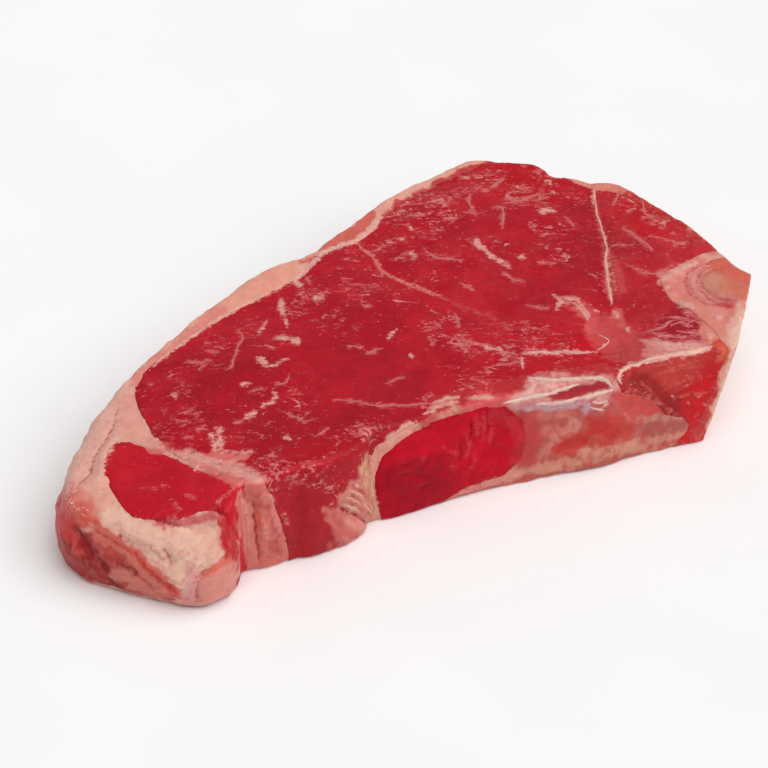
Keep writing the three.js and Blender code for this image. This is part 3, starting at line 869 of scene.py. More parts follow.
        (203, 576), (226, 558), (236, 548), (242, 560), (240, 582), (226, 600), (200, 610), (188, 608),
        (190, 592),
    ),
    *patch(
        "front", ("fat_cap",), (176, 58, 57), 0.95, 2.0,
        (84, 530), (110, 542), (134, 558), (152, 580), (176, 602), (130, 592), (104, 580), (84, 560),
    ),
    *patch(
        "any", ("fat_cap",), (204, 42, 46), 0.95, 2.5,
        (58, 492), (70, 500), (90, 508), (92, 520), (78, 526), (84, 552), (88, 578), (66, 570),
        (56, 548), (55, 515),
    ),
    # painted shade: darker red low on the tail's side
    *patch(
        "front", ("fat_cap",), (156, 26, 36), 0.85, 1.2,
        (74, 528), (86, 532), (92, 548), (104, 558), (112, 574), (100, 576), (86, 562), (78, 546),
    ),
    *washes("front", ("fat_cap",), (146, 20, 30), 0.8, 3, (2, (60, 552), (70, 566), (92, 576))),
    *washes("any", ("fat_cap",), (214, 120, 108), 0.7, 3, (2, (66, 492), (80, 506), (92, 514))),
    *washes(
        "any", ("fat_cap",), (208, 84, 72), 0.85, 1.0,
        (0.4, (84, 514), (100, 528), (116, 541), (136, 554)),
        (0.9, (136, 554), (152, 572), (166, 586), (178, 596)),
    ),
    # the side of the seam
    *washes("front", ("fat_cap",), (198, 98, 91), 0.9, 4, (9, (245, 500), (262, 540))),
    # the second of these is painted shade round the bump of a lobe
    *washes(
        "front", ("fat_cap",), (180, 70, 70), 0.85, 1.6,
        (0.8, (272, 504), (277, 524), (276, 540)), (0.5, (258, 492), (266, 500)),
    ),
    *washes(
        "front", ("fat_cap",), (202, 124, 112), 0.85, 1.4,
        (0.8, (262, 514), (265, 530), (268, 548)), (0.6, (281, 508), (286, 530), (288, 548)),
    ),
    # a brighter patch of the tail muscle
    *washes("top", ("tail_muscle",), (198, 38, 54), 0.5, 4, (4, (196, 488), (212, 500))),
    # streaks and blotches of the tail's side
    *washes(
        "front", ("fat_cap",), (208, 120, 106), 0.8, 1.2,
        (0.8, (96, 534), (114, 546), (130, 560), (150, 578)),
    ),
    *washes(
        "front", ("fat_cap",), (160, 48, 48), 0.8, 1.5,
        (0.6, (112, 556), (122, 565), (132, 574)), (1.2, (98, 574), (112, 582), (124, 588)),
    ),
    *washes("front", ("fat_cap",), (214, 132, 118), 0.7, 1.5, (1.0, (118, 574), (140, 586), (160, 594))),
    *washes("any", ("fat_cap",), (214, 96, 78), 0.8, 0.8, (0.4, (200, 579), (212, 571), (226, 563))),
    *washes("any", ("fat_cap",), (216, 152, 148), 0.8, 2, (1.6, (193, 575), (192, 590), (190, 604))),
    # the lean reaches over the right rim but for a thin edge
    *washes(
        "top", ("edge_fat",), (184, 42, 46), 0.95, 0.9,
        (1.3, (628, 198), (642, 204), (660, 215), (680, 229), (700, 243), (720, 258), (734, 267)),
        (0.5, (636, 192), (660, 207), (684, 224)),
    ),
    *washes("any", ("edge_fat",), (222, 140, 122), 0.9, 1.2, (1.6, (580, 184), (600, 184), (618, 186))),
    # the red front face of the tail muscle and the mauve band along its edge
    *patch(
        "any", ("fat_cap", "tail_muscle"), (186, 30, 42), 0.95, 0.7,
        (212, 513), (222, 511), (229, 514), (233, 523), (238, 540), (242, 556), (241, 573), (237, 560),
        (232, 547), (229, 551), (226, 557), (223, 542), (220, 527), (218, 519),
    ),
    *patch(
        "any", ("fat_cap", "tail_muscle"), (196, 92, 96), 0.9, 1.0,
        (150, 520), (168, 522), (186, 518), (203, 513), (213, 512), (219, 518), (205, 521), (188, 525),
        (160, 526),
    ),
    # lobes, creases and pale spots in the side of the seam, with painted highlights and painted shade on the
    # lobes
    *patch(
        "front", ("fat_cap", "tail_muscle"), (208, 124, 112), 0.9, 0.8,
        (236, 488), (241, 490), (248, 503), (253, 512), (254, 528), (257, 545), (258, 564), (248, 566),
        (244, 552), (242, 538), (238, 522), (236, 506),
    ),
    # pale fat of the left lobe, with a painted highlight down it
    *patch(
        "front", ("fat_cap",), (208, 138, 122), 0.9, 0.9,
        (238, 508), (242, 505), (247, 506), (251, 512), (251, 524), (247, 529), (243, 527), (240, 519),
    ),
    *patch(
        "front", ("fat_cap",), (204, 82, 72), 0.8, 0.8,
        (258, 513), (262, 515), (264, 522), (263, 527), (259, 524),
    ),
    # the first of these is painted shade in a crease
    *washes(
        "front", ("fat_cap",), (184, 78, 76), 0.8, 0.8,
        (0.25, (257, 506), (264, 507), (271, 506)), (0.3, (266, 541), (275, 549), (281, 552)),
    ),
    # the first of these is a painted highlight on the bump of a lobe; the others are pale spots
    *washes(
        "front", ("fat_cap",), (214, 132, 124), 0.8, 1.2,
        (0.7, (264, 493), (268, 500)), (0.6, (262, 532), (268, 536)), (0.5, (274, 512), (279, 524)),
    ),
    # the far rim: thin pink edge, pale first lobe, orange second lobe and the ragged edge behind it
    *washes("top", ("fat_cap",), (216, 134, 122), 0.9, 2, (2, (140, 380), (200, 328), (226, 308))),
    *patch(
        "any", ("fat_cap",), (226, 158, 138), 0.95, 1.5,
        (222, 304), (240, 284), (276, 266), (298, 262), (296, 280), (262, 300), (232, 316),
    ),
    *patch(
        "any", ("fat_cap",), (206, 98, 86), 0.95, 1.2,
        (304, 262), (330, 240), (350, 226), (374, 208), (376, 218), (368, 230), (352, 240), (330, 248),
        (312, 262),
    ),
    *washes(
        "any", ("fat_cap",), (222, 160, 144), 0.9, 1.0,
        (1.2, (380, 207), (404, 194), (440, 177), (484, 160)),
    ),
    *washes(
        "top", ("fat_cap",), (182, 42, 50), 0.92, 0.7,
        (1.6, (388, 216), (403, 206), (423, 196), (443, 187), (467, 175), (493, 164)),
    ),
]

# Where the marbling, or the crumbs and painted glints on soft tissue, are thick or thin: change of the share,
# half width in mm,
# and a chain of pixels
CLUSTERS = [
    (0.42, 5, ((398, 240), (415, 225), (440, 212))),
    (0.45, 3.5, ((352, 275), (368, 285))),
    (0.4, 4.5, ((290, 300), (318, 306))),
    (0.3, 7, ((165, 400), (190, 430))),
    (0.4, 4, ((515, 335), (560, 344))),
    (0.5, 3, ((240, 464), (262, 468))),
    (0.35, 4, ((262, 462), (290, 478))),
    (0.6, 2.5, ((430, 404), (455, 396), (490, 390))),
    (0.4, 4, ((300, 470), (335, 480))),
    (0.35, 4, ((335, 455), (360, 440), (380, 424))),
    (0.5, 2.0, ((505, 396), (525, 384), (545, 377))),
    (0.4, 5, ((440, 335), (470, 345), (500, 350))),
    (0.3, 4, ((540, 240), (560, 260))),
    (0.35, 5, ((480, 175), (510, 185), (540, 190))),
    (0.35, 4, ((640, 200), (690, 240))),
    (0.35, 2.5, ((380, 214), (430, 196), (480, 174))),
    (-0.35, 8, ((320, 360), (360, 380), (420, 375))),
    (-0.3, 7, ((480, 300), (560, 280))),
    (-0.3, 6, ((210, 390), (240, 375))),
    # crumbs of fat with painted glints on the tail's rim
    (0.75, 2.5, ((84, 440), (74, 470), (70, 505), (84, 510))),
    (0.5, 2.0, ((203, 528), (216, 540))),
    (0.4, 1.5, ((190, 566), (194, 578))),
    (0.6, 2.0, ((738, 314), (728, 332))),
    (0.45, 3.0, ((662, 318), (700, 322), (696, 338), (666, 334))),
    (-0.5, 7.0, ((300, 520), (325, 545))),
    (0.4, 2.0, ((670, 276), (664, 292))),
    (0.5, 2.5, ((340, 500), (356, 505))),
    (0.4, 2.0, ((600, 400), (616, 400))),
]


def inside(points, chain):
    """Whether each point lies within a closed chain."""
    within = np.zeros(len(points), bool)
    for (x0, y0), (x1, y1) in zip(chain, chain[1:] + chain[:1]):
        crosses = (points[:, 1] < y0) != (points[:, 1] < y1)
        within ^= crosses & (points[:, 0] < x0 + (points[:, 1] - y0) * (x1 - x0) / ((y1 - y0) or 1))
    return within


def distance_to_chain(points, chain, reach):
    """Distance to a chain of points, at most the reach, and the place along it from 0 to 1."""
    distance = np.full(len(points), float(reach))
    along = np.zeros(len(points))
    chain = np.asarray(chain, float)
    low, high = chain.min(0) - reach, chain.max(0) + reach
    near = np.nonzero(((points >= low) & (points <= high)).all(1))[0]
    if not len(near):
        return distance, along
    p = points[near]
    steps = np.linalg.norm(np.diff(chain, axis=0), axis=1)
    start = np.concatenate([[0], np.cumsum(steps)])
    best, place = np.full(len(p), float(reach)), np.zeros(len(p))
    for i, step in enumerate(steps):
        a, b = chain[i], chain[i + 1]
        t = np.clip((p - a) @ (b - a) / step**2, 0, 1)
        d = np.linalg.norm(p - a - t[:, None] * (b - a), axis=1)
        closer = d < best
        best[closer] = d[closer]
        place[closer] = (start[i] + t[closer] * step) / start[-1]
    distance[near], along[near] = best, place
    return distance, along


def placed(name, data):
    """A new object in the scene."""
    added = bpy.data.objects.new(name, data)
    bpy.context.scene.collection.objects.link(added)
    return added


# Building the skins
def merged_copy(node):
    """A copy of a CAD node's mesh whose shared corners are one."""
    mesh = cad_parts[node].data.copy()
    work = bmesh.new()
    work.from_mesh(mesh)
    bmesh.ops.remove_doubles(work, verts=work.verts, dist=1e-6)
    work.to_mesh(mesh)
    work.free()
    return mesh


def remeshed(node, voxel):
    """The node's form as an even, fine mesh."""
    piece = placed(node + "_skin", merged_copy(node))
    modifier = piece.modifiers.new("fine", "REMESH")
    modifier.mode = "VOXEL"
    modifier.voxel_size = voxel * MM
    evaluated = piece.evaluated_get(bpy.context.evaluated_depsgraph_get())
    fine = bpy.data.meshes.new_from_object(evaluated)
    coarse = piece.data
    piece.modifiers.clear()
    piece.data = fine
    bpy.data.meshes.remove(coarse)
    fine.materials.clear()
    return piece


def get_points(mesh):
    co = np.zeros(len(mesh.vertices) * 3, np.float32)
    mesh.vertices.foreach_get("co", co)
    return co.reshape(-1, 3).astype(float) / MM


def set_points(mesh, points):
    mesh.vertices.foreach_set("co", (points * MM).astype(np.float32).ravel())
    mesh.update()


def get_normals(mesh):
    normals = np.zeros(len(mesh.vertices) * 3, np.float32)
    mesh.vertices.foreach_get("normal", normals)
    return normals.reshape(-1, 3).astype(float)


def relax(mesh, points, rounds, share=0.5):
    """Moves each point part of the way to the middle of its neighbours, again and again."""
    edges = np.zeros(len(mesh.edges) * 2, np.int32)
    mesh.edges.foreach_get("vertices", edges)
    a, b = edges.reshape(-1, 2).T
    ends, others = np.concatenate([a, b]), np.concatenate([b, a])
    degree = np.maximum(np.bincount(ends, minlength=len(points)), 1)
    for _ in range(rounds):
        sums = [np.bincount(ends, weights=points[others, k], minlength=len(points)) for k in range(3)]
        middle = np.stack([total / degree for total in sums], 1)
        points = points + share * (middle - points)
    return points


def tree_of(nodes):
    """One search tree of several CAD nodes, in mm."""
    corners, faces = [], []
    for node in nodes:
        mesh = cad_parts[node].data
        first = len(corners)
        corners.extend((v.co / MM) for v in mesh.vertices)
        faces.extend([first + i for i in f.vertices] for f in mesh.polygons)
    return BVHTree.FromPolygons(corners, faces)


class TopLevel:
    """The cut top's height over a grid, as the CAD has it and smoothed."""

    CELL = 1.0
    MARGIN = 6.0
    STEP = 2.0          # a larger change is a true step of the top, not a facet
    START = 60.0        # rays fall from this height
    LEVEL = 0.6         # the least upward part of the normal of what counts as top
    RIM = 0.6, 0.92     # share of top round a point, from the rim to well inside
    FADE = 1.5, 5       # depth below the top over which nothing moves with it any more
    FOOT = 8            # what is lower than this never moves with the top

    def __init__(self):
        low, high = cad_box[0] / MM, cad_box[1] / MM
        self.x0, self.y0 = low[0] - self.MARGIN, low[1] - self.MARGIN
        columns = int((high[0] - low[0] + 2 * self.MARGIN) / self.CELL) + 2
        rows = int((high[1] - low[1] + 2 * self.MARGIN) / self.CELL) + 2
        tree = tree_of(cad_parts)
        height = np.full((columns, rows), np.nan)
        down = Vector((0, 0, -1))
        for i in range(columns):
            for j in range(rows):
                start = Vector((self.x0 + i * self.CELL, self.y0 + j * self.CELL, self.START))
                where, normal, _, _ = tree.ray_cast(start, down)
                if where and normal.z > self.LEVEL:
                    height[i, j] = where.z
        self.seen = np.isfinite(height)
        known = np.where(self.seen, height, 0)
        change = self.spread(known, self.seen) - known
        self.height = known + change
        facets = self.seen & (np.abs(change) < self.STEP)
        inner = ease(self.blur(facets.astype(float)), *self.RIM)
        carried_out = self.spread(change, facets & (inner > 0.5))
        self.change = inner * np.where(facets, change, 0) + (1 - inner) * carried_out

    def spread(self, field, known):
        """The blurred field, read only where it is known."""
        return self.blur(np.where(known, field, 0)) / np.maximum(self.blur(known.astype(float)), 1e-3)

    def blur(self, field):
        reach = math.ceil(3 * LEVELLING / self.CELL)
        span = np.arange(-reach, reach + 1)
        kernel = np.exp(-0.5 * (span / (LEVELLING / self.CELL)) ** 2)
        kernel /= kernel.sum()
        for axis in (0, 1):
            field = np.apply_along_axis(lambda row: np.convolve(row, kernel, mode="same"), axis, field)
        return field

    def read(self, grid, points):
        """The grid's value at each point."""
        gx, gy = (points[:, 0] - self.x0) / self.CELL, (points[:, 1] - self.y0) / self.CELL
        i = np.clip(np.floor(gx).astype(int), 0, grid.shape[0] - 2)
        j = np.clip(np.floor(gy).astype(int), 0, grid.shape[1] - 2)
        u, v = np.clip(gx - i, 0, 1), np.clip(gy - j, 0, 1)
        low = grid[i, j] * (1 - u) + grid[i + 1, j] * u
        high = grid[i, j + 1] * (1 - u) + grid[i + 1, j + 1] * u
        return low * (1 - v) + high * v

    def near(self, points):
        """How much each point moves with the top: 1 on it, 0 from a few mm below it."""
        depth = self.read(self.height, points) - points[:, 2]
        return (1 - ease(depth, *self.FADE)) * (points[:, 2] > self.FOOT)


def close_gap(points, normals, tree):
    """How each point moves so that a wall reaches past the middle of the gap to its neighbour."""
    move = np.zeros_like(points)
    for i, (point, normal) in enumerate(zip(points.tolist(), normals.tolist())):
        where, _, _, distance = tree.find_nearest(point, GAP_REACH)
        if where is None or distance < 1e-4:
            continue
        towards = (Vector(where) - Vector(point)) / distance
        share = (towards.dot(Vector(normal)) - GAP_FACING) / GAP_FADE
        if share > 0:
            move[i] = towards * ((distance / 2 + OVERLAP) * min(1.0, share))
    return move


def paint(mesh, name, kind, values):
    """Writes one value or colour for each point, which the materials read by its name."""
    attribute = mesh.attributes.new(name, kind, "POINT")
    if kind == "FLOAT":
        attribute.data.foreach_set("value", values.astype(np.float32))
    else:
        opaque = np.concatenate([values, np.ones((len(values), 1))], 1)
        attribute.data.foreach_set("color", opaque.astype(np.float32).ravel())


def dress(mesh, material, ground, stroke, stroke_colour, marbling):
    """Gives a mesh its material and all that the material reads."""
    paint(mesh, "ground", "FLOAT_COLOR", ground)
    paint(mesh, "stroke", "FLOAT", stroke)
    paint(mesh, "stroke_colour", "FLOAT_COLOR", stroke_colour)
    paint(mesh, "marbling", "FLOAT", marbling)
    mesh.polygons.foreach_set("use_smooth", np.ones(len(mesh.polygons), bool))
    mesh.materials.append(material)


def facing(normals):
    """How much each point lies on the top, on the front that the camera sees, or on either."""
    top = ease(normals[:, 2], *TOP_SLOPE)
    near = ease(normals @ BACK, *SEEN_SLOPE)
    return {"top": top, "front": (1 - top) * near, "any": near}


def lay_strokes(seen, shares):
    """The crisp lines and patches: signed distance to the nearest one's edge, its colour, and the relief."""
    field = np.full(len(seen), FAR)
    colour = np.tile(tint(WHITE), (len(seen), 1))
    relief = np.zeros(len(seen))
    for stroke in STROKES:
        distance, along = distance_to_chain(seen, stroke.chain, FAR * PIXELS_PER_MM)
        distance /= PIXELS_PER_MM
        share = shares[stroke.side]
        ends = ease(np.minimum(along, 1 - along), *TAPER)
        radius = stroke.radius * (TIP + (1 - TIP) * ends)
        signed = (distance - radius) / stroke.soft + FAR * (1 - share)
        closer = signed < field
        field[closer] = signed[closer]
        colour[closer] = tint(stroke.colour)
        swell = np.exp(-((distance / (stroke.radius + RELIEF_SPREAD)) ** 2)) * (distance < FAR - 0.1)
        relief += stroke.relief * share * ends * swell
    return field, colour, relief


def lay_washes(node, seen, shares, ground, wander):
    """Lays a piece's washes over its ground colour, with edges that wander in and out."""
    for wash in WASHES:
        if wash.pieces and node not in wash.pieces:
            continue
        reach = wash.radius + wash.soft
        closed = wash.radius == FILLED
        chain = wash.chain + wash.chain[:1] if closed else wash.chain
        distance, _ = distance_to_chain(seen, chain, (reach + 2) * PIXELS_PER_MM)
        distance = distance / PIXELS_PER_MM
        if closed:
            distance *= np.where(inside(seen, wash.chain), -1, 1)
        distance += wander * min(1.0, wash.soft / 2 + 0.3)
        share = wash.share * shares[wash.side] * (1 - ease(distance, wash.radius, reach))
        ground += share[:, None] * (tint(wash.colour) - ground)
    return ground


def marbling_share(base, seen):
    """How thickly each point is marbled: the tissue's own share, changed by the clusters near it."""
    share = np.full(len(seen), base)
    for change, radius, chain in CLUSTERS:
        distance, _ = distance_to_chain(seen, chain, 2 * radius * PIXELS_PER_MM)
        share += change * (1 - ease(distance / PIXELS_PER_MM, 0.3 * radius, 1.8 * radius))
    return np.clip(share, 0, 1)


def creases(points, normals):
    """Thin wandering folds along the sides of the fat, strongest away from the cut faces."""
    level_width, slanting_width = 0.05, 0.04
    level_wave = noise(points, (16, 16, 5), seed=41, octaves=2)
    slanting_wave = noise(points + 3 * points[:, 2:3], (22, 22, 9), seed=42, octaves=2)
    slanting = 0.7 * (1 - np.abs(slanting_wave) / slanting_width)
    lines = np.maximum(1 - np.abs(level_wave) / level_width, slanting)
    return np.clip(lines, 0, 1) * ease(-np.abs(normals[:, 2]), -0.75, -0.4)


def build_piece(node, level):
    """A tissue's skin: the node's form made fine, fitted to its neighbours, given relief and painted."""
    tissue = TISSUES[node]
    piece = remeshed(node, VOXELS.get(node, VOXEL))
    mesh = piece.data
    points = relax(mesh, get_points(mesh), SMOOTHING)
    set_points(mesh, points)
    normals = get_normals(mesh)
    others = tree_of(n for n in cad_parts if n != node)
    wall = close_gap(points, normals, others)
    upward = level.near(points)
    points[:, 2] += (level.read(level.change, points) + tissue.lift) * upward
    points += wall

    # what shows below is cut like the top, so it reads the photograph where the top above it lies
    below = normals[:, 2] < -0.5
    looked_at = points.copy()
    looked_at[below, 2] = CUT_LEVEL
    seen = in_photo(looked_at)
    shares = facing(np.where(below[:, None], [0, 0, 1.0], normals))
    for axis in (0, 1):
        unsteady = noise(points, 2.2, seed=21 + axis, octaves=2)
        drift = 3 * WOBBLE * below * noise(points, 14, seed=23 + axis)
        seen[:, axis] += WOBBLE * unsteady + drift
    field, stroke_colour, relief = lay_strokes(seen, shares)
    fine, coarse = noise(points, 1.3, seed=11, octaves=2), noise(points, 5.0, seed=12, octaves=2)
    relief += tissue.grain * fine + tissue.lumps * coarse
    free = np.linalg.norm(wall, axis=1) < 0.02
    crease = creases(points, normals) * (tissue.slot == "fat")
    relief -= CREASE_DEPTH * crease
    points += normals * (relief * free)[:, None]
    points[:, 2] += relief * ~free * upward
    points[:, 2] = np.maximum(points[:, 2], 0)
    set_points(mesh, points)

    share = ease(noise(points, 6.0, seed=31, octaves=3), -0.6, 0.6)
    ground = tint(tissue.colour) + share[:, None] * (tint(tissue.second) - tint(tissue.colour))
    wander = 1.2 * noise(points, 3.2, seed=32, octaves=2) + 0.5 * noise(points, 1.3, seed=33)
    ground = lay_washes(node, seen, shares, ground, wander)
    ground += 0.5 * crease[:, None] * (tint(CREASE) - ground)
    marbling = marbling_share(tissue.marbling, seen)
    dress(mesh, MATERIALS[tissue.slot], ground, field, stroke_colour, marbling)
    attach(piece, "root")
    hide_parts(node)
    return piece


# Strands
def smooth_chain(chain, step):
    """Points every so many pixels along a smooth curve through a chain."""
    p = np.array(chain, float)
    p = np.vstack([2 * p[0] - p[1], p, 2 * p[-1] - p[-2]])
    curve = []
    for a, b, c, d in zip(p, p[1:], p[2:], p[3:]):
        count = max(1, round(np.linalg.norm(c - b) / step))
        t = (np.arange(count) / count)[:, None]
        bend = (2 * a - 5 * b + 4 * c - d) * t**2 + (3 * b - 3 * c + d - a) * t**3
        curve.append(0.5 * (2 * b + (c - a) * t + bend))
    return np.vstack([*curve, p[-2:-1]])


def on_skins(pixels, skins):
    """Where pixels of the photograph lie on the skins: points in mm and normals."""
    eye = TARGET + BACK * DISTANCE
    offset = (pixels - PHOTO_SIDE / 2) / (LENS / SENSOR * PHOTO_SIDE)
    rays = offset[:, :1] * RIGHT - offset[:, 1:] * UP - BACK
    points, normals = [], []
    for ray in rays / np.linalg.norm(rays, axis=1)[:, None]:
        hits = (skin.ray_cast(Vector(eye * MM), Vector(ray)) for skin in skins)
        hits = [(np.array(where) / MM, np.array(normal)) for found, where, normal, _ in hits if found]
        if hits:
            nearest = min(hits, key=lambda hit: np.linalg.norm(hit[0] - eye))
            points.append(nearest[0])
            normals.append(nearest[1])
    return np.array(points), np.array(normals)


def strand(stroke, skins, seed):
    """Rings of corners round a tapered, slightly uneven strand that lies half sunk on the skins."""
    pixels = smooth_chain(stroke.chain, STRAND_STEP)
    place = np.column_stack([pixels, np.full(len(pixels), seed * 7.3)])
    for axis in (0, 1):
        pixels[:, axis] += 0.8 * noise(place, 9.0, seed=51 + axis, octaves=2)
    points, normals = on_skins(pixels, skins)
    for line in (points, normals):
        line[1:-1] = (line[:-2] + line[1:-1] + line[2:]) / 3
    along = np.gradient(points, axis=0)
    along /= np.linalg.norm(along, axis=1)[:, None]
    side = np.cross(along, normals)
    side /= np.linalg.norm(side, axis=1)[:, None]
    end = ease(np.minimum(np.arange(len(points)), np.arange(len(points))[::-1]), -1, 5)
    uneven = 1 + 0.35 * noise(place[: len(points)], 6.0, seed=53, octaves=2)
    size = (0.25 + 0.75 * end) * uneven
    turn = np.linspace(0, 2 * math.pi, STRAND_SIDES, endpoint=False)
    across = (STRAND_WIDTH * stroke.radius * size)[:, None, None] * np.cos(turn)[:, None] * side[:, None]
    up = (size * stroke.strand)[:, None, None] * (np.sin(turn) - 0.25)[:, None] * normals[:, None]
    return points[:, None] + across + up


def build_strands(skins):
    """All strands as one piece."""
    corners, faces, colours = [], [], []
    for seed, stroke in enumerate(s for s in STROKES if s.strand):
        rings = strand(stroke, skins, seed)
        first = sum(len(c) for c in corners)
        n = STRAND_SIDES
        for i in range(len(rings) - 1):
            a, b = first + i * n, first + (i + 1) * n
            faces.extend((a + k, a + (k + 1) % n, b + (k + 1) % n, b + k) for k in range(n))
        faces.append([first + k for k in range(n)][::-1])
        faces.append([first + (len(rings) - 1) * n + k for k in range(n)])
        corners.append(rings.reshape(-1, 3))
        colours.append(np.tile(tint(stroke.colour), (rings.shape[0] * n, 1)))
    corners, colours = np.vstack(corners), np.vstack(colours)
    mesh = bpy.data.meshes.new("strands")
    mesh.from_pydata((corners * MM).tolist(), [], faces)
    mesh.update()
    dress(mesh, MATERIALS["strand"], colours, np.full(len(corners), FAR), colours, np.zeros(len(corners)))
    piece = placed("strands", mesh)
    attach(piece, "root")


# Materials
class Shader:
    """A material's nodes, made one call at a time. Sizes are in mm."""

    MIX_INPUTS = (0, 6, 7)      # where a mix node takes its share and its two colours
    MIX_OUTPUT = 2              # where it gives their mixture

    def __init__(self, name):
        self.material = bpy.data.materials.new(name)
        self.material.use_nodes = True
        self.tree = self.material.node_tree
        self.surface = self.tree.nodes["Principled BSDF"]
        self.place = self.node("ShaderNodeTexCoord").outputs["Object"]

    def node(self, kind, **settings):
        node = self.tree.nodes.new(kind)
        for name, value in settings.items():
            setattr(node, name, value)
        return node

    def feed(self, socket, value):
        if isinstance(value, bpy.types.NodeSocket):
            self.tree.links.new(value, socket)
        else:
            socket.default_value = value

    def math(self, operation, *values, clamp=False):
        node = self.node("ShaderNodeMath", operation=operation, use_clamp=clamp)
        for socket, value in zip(node.inputs, values):
            self.feed(socket, value)
        return node.outputs[0]

    def noise(self, size, detail=2.0, roughness=0.5, distortion=0.0, stretch=(1, 1, 1)):
        """Noise with lumps of a size, stretched along the grain, across it and upwards."""
        mapping = self.node("ShaderNodeMapping", vector_type="TEXTURE")
        self.feed(mapping.inputs["Vector"], self.place)
        mapping.inputs["Rotation"].default_value = (0, 0, math.radians(AZIMUTH))
        mapping.inputs["Scale"].default_value = [size * MM * s for s in stretch]
        node = self.node("ShaderNodeTexNoise")
        self.feed(node.inputs["Vector"], mapping.outputs[0])
        node.inputs["Scale"].default_value = 1.0
        node.inputs["Detail"].default_value = detail
        node.inputs["Roughness"].default_value = roughness
        node.inputs["Distortion"].default_value = distortion
        return node.outputs[0]

    def painted(self, name, output):
        """What was painted on the mesh under a name, as a colour or as one value."""
        return self.node("ShaderNodeAttribute", attribute_name=name).outputs[output]

    def step(self, value, low, high, to_low=0.0, to_high=1.0):
        node = self.node("ShaderNodeMapRange", interpolation_type="SMOOTHSTEP")
        for socket, v in zip(node.inputs, (value, low, high, to_low, to_high)):
            self.feed(socket, v)
        return node.outputs[0]

    def uneven(self, to_low, to_high, size, detail=2.0, roughness=0.5, stretch=(1, 1, 1)):
        """A value that wanders between two others, in lumps of a size."""
        lumps = self.noise(size, detail, roughness, stretch=stretch)
        return self.step(lumps, 0.3, 0.7, to_low, to_high)

    def mix(self, share, a, b):
        node = self.node("ShaderNodeMix", data_type="RGBA")
        for index, value in zip(self.MIX_INPUTS, (share, a, b)):
            self.feed(node.inputs[index], value)
        return node.outputs[self.MIX_OUTPUT]

    def scale(self, colour, share):
        node = self.node("ShaderNodeVectorMath", operation="SCALE")
        self.feed(node.inputs[0], colour)
        self.feed(node.inputs["Scale"], share)
        return node.outputs[0]

    def bump(self, height, distance, normal=None):
        node = self.node("ShaderNodeBump")
        node.inputs["Strength"].default_value = 1.0
        node.inputs["Distance"].default_value = distance * MM
        self.feed(node.inputs["Height"], height)
        if normal is not None:
            self.feed(node.inputs["Normal"], normal)
        return node.outputs[0]


def rgba(colour):
    return (*tint(colour), 1.0)


# Flecks, from the deepest layer up: size in mm, stretch along the grain, across it and upwards, the noise
# levels from which they show where they are rare and where they are common, softness, strength and colour
Fleck = namedtuple(
    "Fleck", "size stretch rare common softness share colour detail roughness curl", defaults=(4.0, 0.62, 0.0)
)
MARBLING = [
    Fleck(1.7, (1.7, 0.7, 1.4), 0.72, 0.58, 0.05, 0.5, DARK),
    Fleck(4.5, (1.6, 0.9, 1.4), 0.68, 0.57, 0.08, 0.25, HAZE),
    Fleck(3.0, (2.2, 0.55, 1.4), 0.73, 0.59, 0.04, 0.5, (204, 88, 92)),
    Fleck(1.9, (1.5, 0.8, 1.4), 0.71, 0.57, 0.035, 0.75, (212, 120, 118), curl=0.9),
    Fleck(3.8, (1.5, 0.9, 1.4), 0.72, 0.6, 0.03, 0.8, (220, 148, 140), detail=5.0, roughness=0.72, curl=1.0),
    Fleck(1.2, (1.5, 0.9, 1.0), 0.75, 0.6, 0.05, 0.6, (210, 112, 112), detail=2.0),
]
# white crumbs of fat, which also stand as painted glints of light on the wet fat and bone
CRUMBS_AND_GLINTS = Fleck(0.75, (1.2, 1.0, 1.0), 0.95, 0.5, 0.04, 0.85, WHITE, detail=3.0)

# Soft tissues and bone: how mottled, the colour and share of their blotches, roughness of the surface, depth
# in mm and share of the light that passes below it, and strength of its shine
Soft = namedtuple("Soft", "mottle streak streak_share gloss depth scatter shine", defaults=(0.2,))
SOFT = {
    "fat": Soft(0.05, (212, 124, 112), 0.34, 0.4, 2.5, 0.28),
    "strand": Soft(0.1, (216, 128, 120), 0.35, 0.38, 1.5, 0.2),
    "bone": Soft(0.1, (190, 66, 60), 0.6, 0.42, 1.2, 0.15),
    "marrow": Soft(0.12, (150, 18, 36), 0.35, 0.38, 1.0, 0.1, shine=0.08),
    "cartilage": Soft(0.06, (196, 96, 90), 0.35, 0.36, 1.5, 0.2),
    "gristle": Soft(0.08, (206, 110, 98), 0.5, 0.4, 1.5, 0.2),
}


def lay_flecks(s, fleck, amount, colour):
    """Draws ragged flecks over a colour; they cover more of it as the amount grows."""
    level = s.step(amount, 0.0, 1.0, fleck.rare, fleck.common)
    lumps = s.noise(fleck.size, fleck.detail, fleck.roughness, fleck.curl, fleck.stretch)
    height = s.math("SUBTRACT", lumps, level)
    cover = s.math("MULTIPLY", s.step(height, -fleck.softness, fleck.softness), fleck.share)
    return s.mix(cover, colour, rgba(fleck.colour))


def lay_on_strokes(s, colour, rag):
    """Draws the strokes over a colour, with edges made ragged by a share of their softness."""
    lumps = s.noise(1.3, detail=4.0, roughness=0.7, stretch=(1.5, 0.9, 1.2))
    ragged = s.math("MULTIPLY_ADD", lumps, 2 * rag, -rag)
    edge = s.math("ADD", s.painted("stroke", "Fac"), ragged)
    grainy = s.scale(s.painted("stroke_colour", "Color"), s.uneven(0.86, 1.1, size=0.8))
    body = s.step(edge, -0.4, 0.3, 1, 0)
    broken = s.step(s.noise(1.1, detail=3.0, roughness=0.6), 0.3, 0.5, 0.6, 1)
    return s.mix(s.math("MULTIPLY", body, broken), colour, grainy)


